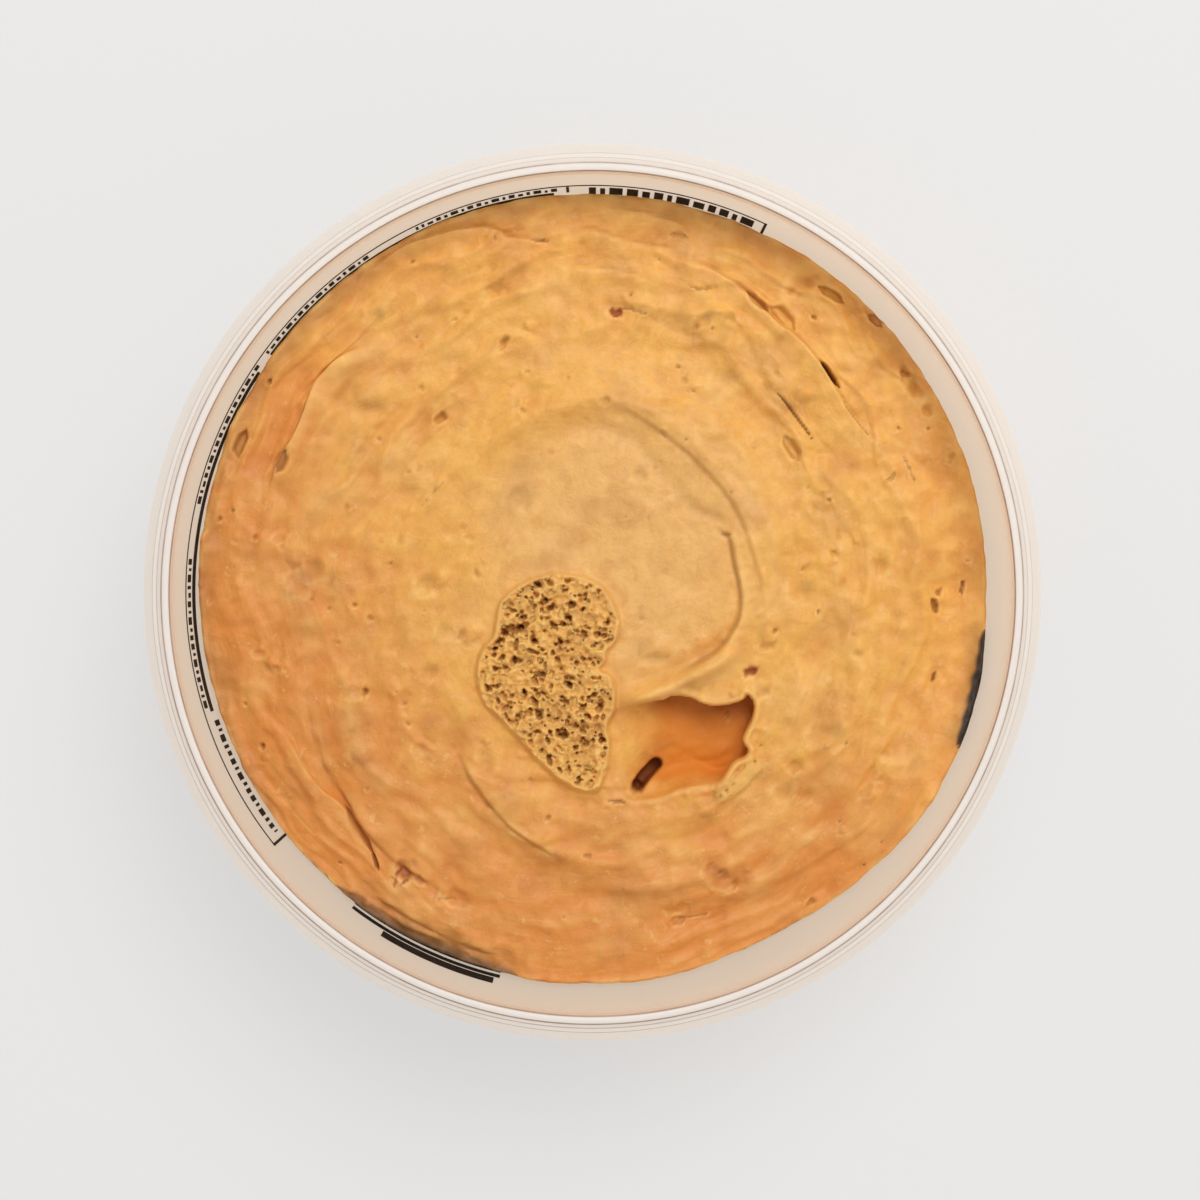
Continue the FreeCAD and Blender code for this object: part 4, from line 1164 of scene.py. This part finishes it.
def tear_patch(face):
    """Torn crumb: a raised plateau with a smooth pale rim and an open, pitted middle, with painted
    highlight on its raised crumb and lit hole edges and painted shade in its holes and low places.
    """
    index, depth = face.inside(TORN_PATCH, 4.0)
    x, y = face.x[index], face.y[index]
    plateau = smooth(-0.45, 0.25, depth) * 0.8
    rim = np.exp(-(((depth - 0.4) / 0.35) ** 2)) * 0.16
    face.lift[index] += plateau + rim
    face.mark("smear_and_highlight", index, np.exp(-(((depth - 0.35) / 0.3) ** 2)) * 0.45)
    crumb = smooth(0.3, 0.9, depth + swell(x, y, 2.2, 30) * 0.5)
    rough = swell(x, y, 1.9, 31) * 0.52 + swell(x, y, 0.9, 32) * 0.54 + swell(x, y, 0.42, 33) * 0.2
    cracks = smooth(0.80, 0.97, 1.0 - abs(swell(x, y, 1.5, 34))) * smooth(0.0, 0.4, swell(x, y, 2.6, 35))
    lift = rough * crumb - cracks * crumb * 0.15
    pit_shade = cracks * crumb * 0.12
    lit = np.zeros(len(index))
    shelf = smooth(0.05, 0.2, swell(x, y, 2.4, 36)) * 0.3
    lift -= shelf * crumb
    draws = np.random.default_rng(77)
    holes = [(hx, hy, size, long, turn, 0.8) for hx, hy, size, long, turn in CRUMB_HOLES]
    for _ in range(PORE_COUNT):
        hx, hy = draws.uniform(-15.5, 3.7), draws.uniform(-26.3, 2.8)
        size = 0.14 + 0.3 * draws.random() ** 2.2
        long, turn, dark = draws.uniform(1.0, 2.2), draws.uniform(0, 180), draws.uniform(0.12, 0.62)
        holes.append((hx, hy, size, long, turn, dark))
    for hx, hy, size, long, turn, dark in holes:
        reach = size * long * 2.0
        near = np.nonzero((abs(x - hx) < reach) & (abs(y - hy) < reach))[0]
        if len(near) == 0:
            continue
        angle = math.radians(turn)
        off_x, off_y = x[near] - hx, y[near] - hy
        u = (off_x * math.cos(angle) + off_y * math.sin(angle)) / (size * long)
        v = (off_y * math.cos(angle) - off_x * math.sin(angle)) / size
        bent = np.hypot(u, v) + swell(x[near], y[near], 0.5, 37) * 0.35
        shape = (1.0 - smooth(0.55, 1.15, bent)) * crumb[near]
        lift[near] -= shape * (0.4 + size * 1.6)
        # Painted shade inside each hole on the side towards the lamp, painted highlight on the opposite
        # edge.
        side = smooth(-0.8, 1.0, (off_x * 0.4 + off_y * 0.9) / size)
        pit_shade[near] = np.maximum(pit_shade[near], shape * dark * (0.35 + 0.65 * side))
        edge = np.exp(-(((bent - 1.25) / 0.22) ** 2)) * (1.0 - side) * crumb[near]
        lit[near] = np.maximum(lit[near], edge)
    face.lift[index] += lift + lit * 0.12
    # Painted highlight on the lit hole edges and on the raised crumb.
    face.mark("smear_and_highlight", index, np.maximum(lit * 0.9, smooth(0.1, 0.5, rough) * crumb * 0.85))
    face.mark("torn", index, smooth(-0.2, 0.5, depth))
    face.marks["pit_shade"][index] = np.maximum(face.marks["pit_shade"][index] * (1 - crumb), pit_shade)
    face.mark("shade", index, crumb * np.clip(0.02 - rough * 0.9, 0.0, 0.55))


def dig_hollow(face):
    """Scooped hollow that runs under its upper and right edge, with a finger hole in it."""
    index, depth = face.inside(HOLLOW, 2.5)
    x, y = face.x[index], face.y[index]
    inside = np.maximum(depth, 0.0)
    centre_x, centre_y = 13.0, -20.5
    way = np.arctan2(y - centre_y, x - centre_x)
    steep = smooth(-0.5, 0.7, np.cos(way - math.radians(45)))
    edge = 3.2 - 2.4 * steep
    low = smooth(1.8, 13.0, x + (y + 20.0) * 0.12)
    floor = 4.3 * low * smooth(0.0, 1.0, inside / edge)
    floor += 1.4 * smooth(3.0, 6.0, x) * smooth(-20.0, -25.0, y) * smooth(0.0, 0.6, inside)
    floor *= smooth(-0.05, 0.25, depth)
    rows = swell((x * 0.6 + y * 0.8), (x * 0.8 - y * 0.6) * 0.35, 1.6, 41)
    floor += inside.clip(0, 1) * (rows * 0.16 + swell(x, y, 3.0, 42) * 0.25)
    face.lift[index] -= floor
    lip = np.exp(-(((depth + 0.35) / 0.4) ** 2)) * (0.05 + 0.5 * steep)
    face.lift[index] += lip
    under = 1.9 * steep * smooth(0.15, 0.9, depth) * (1.0 - smooth(1.6, 5.0, depth))
    outward = np.stack([np.cos(way), np.sin(way)], 1)
    face.slide[index] += outward * under[:, None]
    opened = smooth(1.2, 4.2, floor)
    face.mark("opened", index, opened * 0.95)
    # Painted shade under the overhanging upper edge and down its steep side.
    upper = smooth(-23.5, -15.0, y + 0.35 * (x - 13.0)) * smooth(2.5, 9.0, x)
    gloom = 0.27 * upper ** 2 + 0.14 * steep * (1.0 - smooth(0.9, 2.4, depth))
    face.mark("pit_shade", index, gloom * smooth(0.1, 0.6, depth))
    face.mark("opened", index, smooth(0.0, 0.8, depth) * smooth(4.5, 9.0, x) * 0.45)
    # Painted highlight along the lit lip.
    lit = np.exp(-(((depth + 0.3) / 0.28) ** 2)) * smooth(3.0, 8.0, x)
    face.mark("smear_and_highlight", index, lit * 0.6)
    face.ridge(((6.1, -23.4), (7.6, -21.6), (9.6, -20.6), (12.0, -19.6)), -0.5, 0.8, dark=0.18)
    hole, gap, _, _ = face.near(curve_through(((6.1, -25.6), (7.0, -24.5), (8.5, -23.0))), 3.0)
    shape = 1.0 - smooth(0.5, 1.05, gap)
    face.lift[hole] -= 2.4 * shape
    # Painted shade fills the finger hole.
    face.mark("pit_shade", hole, (1.0 - smooth(0.75, 1.05, gap)) * 1.0)
    face.spot(5.9, -26.0, 0.85, 1.2, long=1.1, turn=20, dark=1.0)
    face.spot(17.0, -17.3, 0.3, 0.4, long=1.8, turn=110, dark=0.5)
    strip, gap, _, along = face.near(
        curve_through(((15.8, -27.2), (17.5, -26.3), (19.2, -25.4), (20.7, -23.8), (22.4, -21.8))), 3.0)
    shape = (1.0 - smooth(0.7, 1.4, gap)) * ends(along, 0.15)
    crumb = swell(face.x[strip], face.y[strip], 0.7, 44) * 0.2
    face.lift[strip] += shape * (0.25 + crumb)
    face.mark("torn", strip, shape)
    for x, y, size in ((17.0, -26.9, 0.3), (17.8, -26.2, 0.28), (19.3, -23.4, 0.2), (19.8, -25.6, 0.2),
                       (18.6, -25.2, 0.16), (21.6, -22.3, 0.25), (20.4, -24.6, 0.15)):
        face.spot(x, y, size, 0.45, long=1.3, turn=30, dark=0.8)


# Depth of the spread under the lip round the wall: angle in degrees, depth.
WALL_LEVELS = (
    (0, 11.6), (20, 10.7), (40, 10.4), (55, 9.9), (75, 10.1), (90, 9.8), (105, 9.3), (125, 8.9),
    (140, 9.7), (155, 10.35), (170, 10.9), (180, 11.3), (195, 12.1), (210, 12.3), (225, 13.2),
    (235, 12.2), (250, 11.9), (270, 11.4), (280, 11.6), (290, 12.9), (300, 13.4), (310, 12.2),
    (320, 10.3), (330, 8.75), (340, 9.5), (350, 10.5),
)


# Painted shade standing in for the print seen past the thin edge of the spread: from and to in degrees,
# reach and strength.
INKED_SHADE = ((-22.8, -5.2, 1.05, 0.97), (229.0, 259.0, 2.1, 0.62), (231.0, 257.5, 0.7, 0.9))

# Gloom that the print throws on the spread: from and to in degrees, reach and strength.
PRINT_GLOOM = (
    (62.0, 96.0, 1.6, 0.4), (96.0, 120.0, 2.2, 0.4), (120.0, 165.0, 2.0, 0.45), (165.0, 185.0, 2.2, 0.5),
    (185.0, 216.0, 1.9, 0.5), (229.0, 259.0, 2.4, 0.5), (-23.0, -5.0, 1.6, 0.8),
)


def from_middle(angle, start, end):
    """Degrees between an angle and the middle of a span."""
    return abs((angle - (start + end) / 2 + 180.0) % 360.0 - 180.0)


def finish_rim(face, spread):
    """Wavy line where the spread meets the wall, its pale smeared edge with a painted highlight, and the
    gloom behind the print.
    """
    radius = np.hypot(face.x, face.y)
    angle = np.degrees(np.arctan2(face.y, face.x))
    rim = radius.max()
    gap = rim - radius
    wave = swell(np.radians(angle) * 9.0, radius * 0.02, 1.0, 51) * 0.35
    wave += swell(np.radians(angle) * 30.0, radius * 0.02, 1.0, 52) * 0.10
    level = np.interp(angle % 360.0, *np.array(WALL_LEVELS, float).T, period=360.0)
    drop = spread.fill_drop - level - spread.fill_tilt * face.y / rim
    face.lift += drop * np.exp(-((gap / 7.0) ** 2)) + 0.2 * wave * np.exp(-gap / 2.2)
    face.lift += 0.3 * np.exp(-gap / 0.7) - 0.3 * np.exp(-(((gap - 2.2) / 1.3) ** 2))
    # The pale edge at the wall is partly smeared spread and partly a painted highlight.
    patchy = swell(np.radians(angle) * 14.0, gap * 0.3, 1.0, 53) + 0.2
    face.mark("smear_and_highlight", slice(None), np.exp(-gap / 0.35) * smooth(-0.1, 0.5, patchy))
    torn_edge = swell(np.radians(angle) * 34.0, gap * 0.8, 1.0, 55)
    # Painted shade where the print shows past the thin edge.
    for start, end, deep, amount in INKED_SHADE:
        off = from_middle(angle, start, end) / ((end - start) / 2)
        reach = deep * np.sqrt(np.clip(1.0 - off ** 2, 0.0, 1.0)) * (1.0 + 0.25 * torn_edge)
        dark = (1.0 - smooth(0.4, 1.1, gap / np.maximum(reach, 0.02))) * (off < 1.0)
        face.mark("inked_shade", slice(None), dark * amount)
    face.marks["smear_and_highlight"] *= 1.0 - face.marks["inked_shade"]
    breath = 1.0 + 0.5 * face.swell(4.0, 54)
    for start, end, deep, amount in PRINT_GLOOM:
        half = (end - start) / 2
        off = from_middle(angle, start, end)
        along = 1.0 - smooth(half - 3.0, half + 2.0, off)
        face.mark("shade", slice(None), along * amount * np.exp(-((gap / (deep * breath)) ** 2)))


def refine(made, picked):
    """Splits the picked faces once."""
    pick(made)
    count = len(made.data.polygons)
    made.data.vertices.foreach_set("select", np.zeros(len(made.data.vertices), bool))
    made.data.edges.foreach_set("select", np.zeros(len(made.data.edges), bool))
    made.data.polygons.foreach_set("select", picked[:count])
    bpy.context.tool_settings.mesh_select_mode = (False, False, True)
    bpy.ops.object.mode_set(mode="EDIT")
    bpy.ops.mesh.subdivide(number_cuts=1, quadcorner="INNERVERT")
    bpy.ops.object.mode_set(mode="OBJECT")
    bpy.context.tool_settings.mesh_select_mode = (True, False, False)


def face_centres(made):
    """Centre of every face, in millimetres."""
    flat = np.zeros(len(made.data.polygons) * 3, np.float32)
    made.data.polygons.foreach_get("center", flat)
    return flat.reshape(-1, 3).astype(float) / MM


def worked_places(centres):
    """Faces close to a fine form."""
    face = Face(centres[:, 0], centres[:, 1])
    picked = np.zeros(len(centres), bool)
    lines = [points for _, _, _, _, points in SLITS] + [points for _, _, _, _, points in FOLDS[:7]]
    for points in lines:
        picked[face.near(curve_through(points), 1.3)[0]] = True
    for x, y, size, *_ in SPOTS:
        if size < 1.0:
            picked |= np.hypot(centres[:, 0] - x, centres[:, 1] - y) < size * 1.6 + 0.5
    picked[face.inside(HOLLOW, 1.6)[0]] = True
    picked[face.inside(TORN_PATCH, 1.6)[0]] = True
    radius = np.hypot(centres[:, 0], centres[:, 1])
    angle = np.degrees(np.arctan2(centres[:, 1], centres[:, 0]))
    for start, end, _, _ in INKED_SHADE:
        off = from_middle(angle, start, end)
        picked |= (off < (end - start) / 2 + 0.5) & (radius > radius.max() - 1.2)
    return picked


def make_spread(spread, tub):
    """The cheese spread: a pressed grid on top, its sides and bottom just inside the wall."""
    top = tub.height - spread.fill_drop
    rim = wall_inside(tub, top) + spread.into_wall
    start_clean()
    bpy.ops.mesh.primitive_grid_add(
        x_subdivisions=GRID_SIDE, y_subdivisions=GRID_SIDE, size=2.0 * MM, location=(0, 0, 0))
    made = settle(named_active("cheese_spread"))
    places = get_vertices(made)
    u, v = places[:, 0].copy(), places[:, 1].copy()
    places[:, 0] = u * np.sqrt(1.0 - v * v / 2.0) * rim
    places[:, 1] = v * np.sqrt(1.0 - u * u / 2.0) * rim
    set_vertices(made, places)
    refine(made, worked_places(face_centres(made)))
    centres = face_centres(made)
    crumb = np.zeros(len(centres), bool)
    crumb[Face(centres[:, 0], centres[:, 1]).inside(TORN_PATCH, 0.8)[0]] = True
    refine(made, crumb)

    places = get_vertices(made)
    face = Face(places[:, 0], places[:, 1])
    press_face(face, spread, tub)
    dig_hollow(face)
    tear_patch(face)
    finish_rim(face, spread)
    radius = np.hypot(face.x, face.y)
    held = smooth(0.0, 3.0, rim - radius)[:, None]
    places[:, :2] += face.slide * held
    places[:, 2] = top + face.lift
    edge = radius > rim - 0.05
    grown = (wall_inside(tub, places[edge, 2]) + spread.into_wall) / radius[edge]
    places[edge, :2] *= grown[:, None]
    set_vertices(made, places)
    for name, values in face.marks.items():
        set_mark(made, name, values)
    close_below(made, spread, tub)
    made.data.materials.append(spread_finish(spread))
    shade_smooth(made)
    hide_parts("cheese")
    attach(made, "root")
    return made


def close_below(made, spread, tub):
    """Sides down the wall, a rounded lower edge and the bottom."""
    floor = tub.foot_rise + tub.floor_thick - spread.into_wall
    bend = tub.inside_round
    levels = [(tub.height - spread.fill_drop - 5.0, 0.0)]
    for turn in (0, 30, 60, 90):
        angle = math.radians(turn)
        levels.append((floor + bend * (1.0 - math.sin(angle)), bend * (1.0 - math.cos(angle))))
    upper = len(made.data.vertices)
    pick(made)
    bpy.ops.object.mode_set(mode="EDIT")
    bpy.ops.mesh.select_all(action="DESELECT")
    bpy.ops.mesh.select_mode(type="EDGE")
    bpy.ops.mesh.select_non_manifold(
        extend=False, use_wire=False, use_boundary=True, use_multi_face=False,
        use_non_contiguous=False, use_verts=False)
    for height, _ in levels:
        bpy.ops.mesh.extrude_edges_move(TRANSFORM_OT_translate={"value": (0, 0, -MM)})
        bpy.ops.transform.resize(value=(1, 1, 0), center_override=(0, 0, height * MM))
    bpy.ops.mesh.edge_face_add()
    bpy.ops.mesh.select_all(action="SELECT")
    bpy.ops.mesh.normals_make_consistent(inside=False)
    bpy.ops.mesh.select_mode(type="VERT")
    bpy.ops.object.mode_set(mode="OBJECT")
    places = get_vertices(made)
    fresh = np.arange(len(places)) >= upper
    for height, inset in levels:
        ring = fresh & (abs(places[:, 2] - height) < 1e-3)
        radius = np.hypot(places[ring, 0], places[ring, 1])
        target = wall_inside(tub, height) + spread.into_wall - inset
        places[ring, :2] *= (target / radius)[:, None]
    set_vertices(made, places)


# ------------------------------------------------------------ print
def ink_patch(name, ink, tub, start, end, high, low, swayed=None):
    """Curved skin of ink over an angle in degrees and a depth under the lip."""
    arc = math.radians(abs(end - start)) * wall_outside(tub, high)
    columns = max(1, int(math.ceil(arc / INK_COLUMN)))
    rows = max(1, int(math.ceil((low - high) / INK_ROW)))
    start_clean()
    bpy.ops.mesh.primitive_grid_add(
        x_subdivisions=columns, y_subdivisions=rows, size=2.0 * MM, location=(0, 0, 0))
    made = settle(named_active(name))
    places = get_vertices(made)
    across, down = (places[:, 0] + 1.0) / 2.0, (1.0 - places[:, 1]) / 2.0
    top = np.full(len(across), float(high))
    if swayed is not None:
        top = swayed(across)
    depth = top + (low - top) * down
    angle = np.radians(end + (start - end) * across)
    radius = wall_outside(tub, depth) - ink.bite
    set_vertices(made, np.stack([radius * np.cos(angle), radius * np.sin(angle), tub.height - depth], 1))
    faces_out()
    outward = made.data.polygons[0].normal
    centre = made.data.polygons[0].center
    thick = made.modifiers.new("ink", "SOLIDIFY")
    thick.thickness = (ink.bite + ink.proud) * MM
    thick.offset = 1.0 if outward.x * centre.x + outward.y * centre.y > 0 else -1.0
    bpy.ops.object.modifier_apply(modifier=thick.name)
    return made


def join_print(name, parts, finish):
    """Joins the patches of one print into one piece."""
    start_clean()
    for part in parts:
        part.select_set(True)
    bpy.context.view_layer.objects.active = parts[0]
    if len(parts) > 1:
        bpy.ops.object.join()
    made = named_active(name)
    faces_out()
    made.data.materials.clear()
    made.data.materials.append(finish)
    shade_smooth(made, INK_SHARP)
    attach(made, "root")
    return made


def row_of_blocks(ink, tub, spans, high, low, widths, gap):
    """A line of plain blocks of uneven width, left blank between the spans."""
    parts = []
    for start, end in spans:
        angle = start
        turn = 0
        while angle < end:
            width = widths[turn % len(widths)]
            stop = min(angle + width, end)
            drop = (0.0, 0.35, 0.0, 0.0, 0.3, 0.0, 0.2)[turn % 7]
            if stop - angle > 0.25:
                parts.append(ink_patch("block", ink, tub, angle, stop, high + drop, low))
            angle = stop + gap
            turn += 1
    return parts


def make_panel_print(ink, tub, finish):
    """Framed panel of plain blocks and rules round the back and left of the wall."""
    parts = [
        ink_patch("frame", ink, tub, 65.0, 218.3, 8.0, 8.25),
        ink_patch("frame", ink, tub, 64.7, 65.1, 7.95, 30.0),
        ink_patch("frame", ink, tub, 218.0, 218.4, 7.95, 30.0),
        ink_patch("frame", ink, tub, 65.0, 218.3, 29.7, 30.0),
        ink_patch("separator", ink, tub, 93.3, 93.7, 8.5, 10.6),
        ink_patch("rule", ink, tub, 95.5, 143.4, 10.5, 11.6),
        ink_patch("rule", ink, tub, 146.4, 197.2, 10.5, 11.6),
    ]
    parts += row_of_blocks(ink, tub, [(66.5, 90.5)], 9.0, 11.6, (1.9, 0.7, 1.3, 1.1, 1.6), 0.6)
    spans = [(95.0, 115.8), (123.6, 144.0), (145.6, 167.6), (175.0, 197.2)]
    parts += row_of_blocks(ink, tub, spans, 8.8, 9.9, (0.85, 0.4, 1.1, 0.5, 0.7), 0.5)
    parts += row_of_blocks(ink, tub, [(198.6, 217.0)], 10.7, 12.3, (0.85, 0.4, 1.1, 0.5, 0.7), 0.5)
    for high in (13.6, 16.4, 19.2, 22.0, 24.8):
        wide = [(68.0, 92.0), (96.0, 118.0), (124.0, 140.0), (150.0, 172.0), (176.0, 190.0)]
        parts += row_of_blocks(ink, tub, wide, high, high + 1.5, (2.2, 1.2, 3.0), 0.6)
    for high in (15.6, 21.2, 26.9):
        parts.append(ink_patch("rule", ink, tub, 67.0, 216.0, high, high + 0.25))
    return join_print("print_panel", parts, finish)


def make_bar_print(ink, tub, finish):
    """Thick and thin bars over a dark field at the lower left."""
    parts = [
        ink_patch("bar", ink, tub, 238.2, 255.6, 9.0, 10.9),
        ink_patch("bar", ink, tub, 232.6, 256.4, 11.3, 12.3),
        ink_patch("field", ink, tub, 232.6, 256.4, 13.2, 30.0),
    ]
    return join_print("print_bars", parts, finish)


def make_field_print(ink, tub, finish):
    """Dark field with an arched top at the right."""
    def arch(across):
        return 11.2 + 4.4 * abs(across * 2.0 - 1.0) ** 2.2

    parts = [ink_patch("field", ink, tub, -24.0, -4.0, 11.2, 30.0, swayed=arch)]
    return join_print("print_field", parts, finish)


# ------------------------------------------------------------ stage
def make_stage(stage):
    """Pale table, one broad soft lamp, an even sky and the camera."""
    start_clean()
    bpy.ops.mesh.primitive_circle_add(
        vertices=96, radius=TABLE_RADIUS, fill_type="NGON", location=(0, 0, 0))
    table = settle(named_active("table"))
    table.data.materials.append(table_finish(stage))

    lip = CAD_BOX[1].z
    lamp = bpy.data.lights.new("key", "AREA")
    lamp.shape = "DISK"
    lamp.size = LAMP_SIZE
    lamp.energy = stage.key_power
    key = bpy.data.objects.new("key", lamp)
    bpy.context.collection.objects.link(key)
    key.location = (
        LAMP_REACH * math.cos(LAMP_RISE) * math.cos(LAMP_TURN),
        LAMP_REACH * math.cos(LAMP_RISE) * math.sin(LAMP_TURN),
        lip + LAMP_REACH * math.sin(LAMP_RISE),
    )
    key.rotation_euler = (0.0, math.pi / 2 - LAMP_RISE, LAMP_TURN)

    view = bpy.data.cameras.new("camera")
    view.sensor_width = 36.0
    view.lens = view.sensor_width * stage.camera_rise / stage.view_width
    view.clip_start = 0.01
    camera = bpy.data.objects.new("camera", view)
    bpy.context.collection.objects.link(camera)
    away = stage.camera_rise * MM
    camera.location = (
        AIM[0] * MM,
        AIM[1] * MM + away * math.sin(stage.camera_tilt),
        lip + away * math.cos(stage.camera_tilt),
    )
    camera.rotation_euler = (-stage.camera_tilt, 0.0, 0.0)
    bpy.context.scene.camera = camera
    bpy.context.scene.view_settings.view_transform = "Standard"
    make_sky(stage)


def make_sky(stage):
    """Even white light, and the table's own colour where the camera looks past the table."""
    world = bpy.data.worlds.new("sky")
    world.use_nodes = True
    bpy.context.scene.world = world
    sky = Finish.of_tree(world.node_tree)
    even = sky.node("ShaderNodeBackground", None, {
        "Color": (1.0, 0.99, 0.975, 1.0), "Strength": stage.sky_power})[0]
    seen = sky.node("ShaderNodeBackground", None, {"Color": rgba(stage.table)})[0]
    path = sky.node("ShaderNodeLightPath")
    sky.node("ShaderNodeOutputWorld", None, {"Surface": sky.blend(path[0], even, seen)})


def table_finish(stage):
    """White table that keeps a soft shadow and shows one even colour to the camera."""
    white = Finish("table_white")
    path = white.node("ShaderNodeLightPath")
    matt = white.node("ShaderNodeBsdfDiffuse", None, {"Color": rgba(linear(242, 241, 239))})[0]
    even = white.node("ShaderNodeEmission", None, {"Color": rgba(stage.table), "Strength": 1.0})[0]
    mixed = white.blend(0.36, even, matt)
    seen = white.node("ShaderNodeMath", {"operation": "MAXIMUM"}, {0: path[0], 1: path[3]})[0]
    return white.output(white.blend(seen, matt, mixed))


# ------------------------------------------------------------ operators and panel
class SPREADTUB_OT_stage(bpy.types.Operator):
    """Set the table, lights and camera"""
    bl_idname = "spreadtub.stage"
    bl_label = "Stage"

    def execute(self, context):
        make_stage(context.scene.tub_stage)
        return {"FINISHED"}


class SPREADTUB_OT_tub(bpy.types.Operator):
    """Turn the moulded tub"""
    bl_idname = "spreadtub.tub"
    bl_label = "Tub"

    def execute(self, context):
        make_tub(context.scene.tub_body)
        return {"FINISHED"}


class SPREADTUB_OT_spread(bpy.types.Operator):
    """Fill the tub with the swirled spread"""
    bl_idname = "spreadtub.spread"
    bl_label = "Spread"

    def execute(self, context):
        make_spread(context.scene.tub_spread, context.scene.tub_body)
        return {"FINISHED"}


class SPREADTUB_OT_print(bpy.types.Operator):
    """Print the wall with plain blocks and bars"""
    bl_idname = "spreadtub.print"
    bl_label = "Print"

    def execute(self, context):
        ink, tub = context.scene.tub_print, context.scene.tub_body
        finish = ink_finish(ink.ink)
        make_panel_print(ink, tub, finish)
        make_bar_print(ink, tub, finish)
        make_field_print(ink, tub, finish)
        return {"FINISHED"}


class SPREADTUB_PT_panel(bpy.types.Panel):
    """Steps and settings of the tub"""
    bl_idname = "SPREADTUB_PT_panel"
    bl_label = "Spread Tub"
    bl_space_type = "VIEW_3D"
    bl_region_type = "UI"
    bl_category = "Spread Tub"

    def draw(self, context):
        for step, group in STEPS:
            box = self.layout.box()
            box.operator(step.bl_idname)
            settings = getattr(context.scene, group)
            for name in settings.__annotations__:
                box.prop(settings, name)


GROUPS = (
    ("tub_stage", StageSettings),
    ("tub_body", TubSettings),
    ("tub_spread", SpreadSettings),
    ("tub_print", PrintSettings),
)
STEPS = (
    (SPREADTUB_OT_stage, "tub_stage"),
    (SPREADTUB_OT_tub, "tub_body"),
    (SPREADTUB_OT_spread, "tub_spread"),
    (SPREADTUB_OT_print, "tub_print"),
)


def register():
    for name, group in GROUPS:
        bpy.utils.register_class(group)
        setattr(bpy.types.Scene, name, bpy.props.PointerProperty(type=group))
    for step, _ in STEPS:
        bpy.utils.register_class(step)
    bpy.utils.register_class(SPREADTUB_PT_panel)


def unregister():
    bpy.utils.unregister_class(SPREADTUB_PT_panel)
    for step, _ in reversed(STEPS):
        bpy.utils.unregister_class(step)
    for name, group in reversed(GROUPS):
        delattr(bpy.types.Scene, name)
        bpy.utils.unregister_class(group)


def main():
    register()
    bpy.ops.spreadtub.stage()
    bpy.ops.spreadtub.tub()
    bpy.ops.spreadtub.spread()
    bpy.ops.spreadtub.print()


if __name__ == "__main__":
    main()
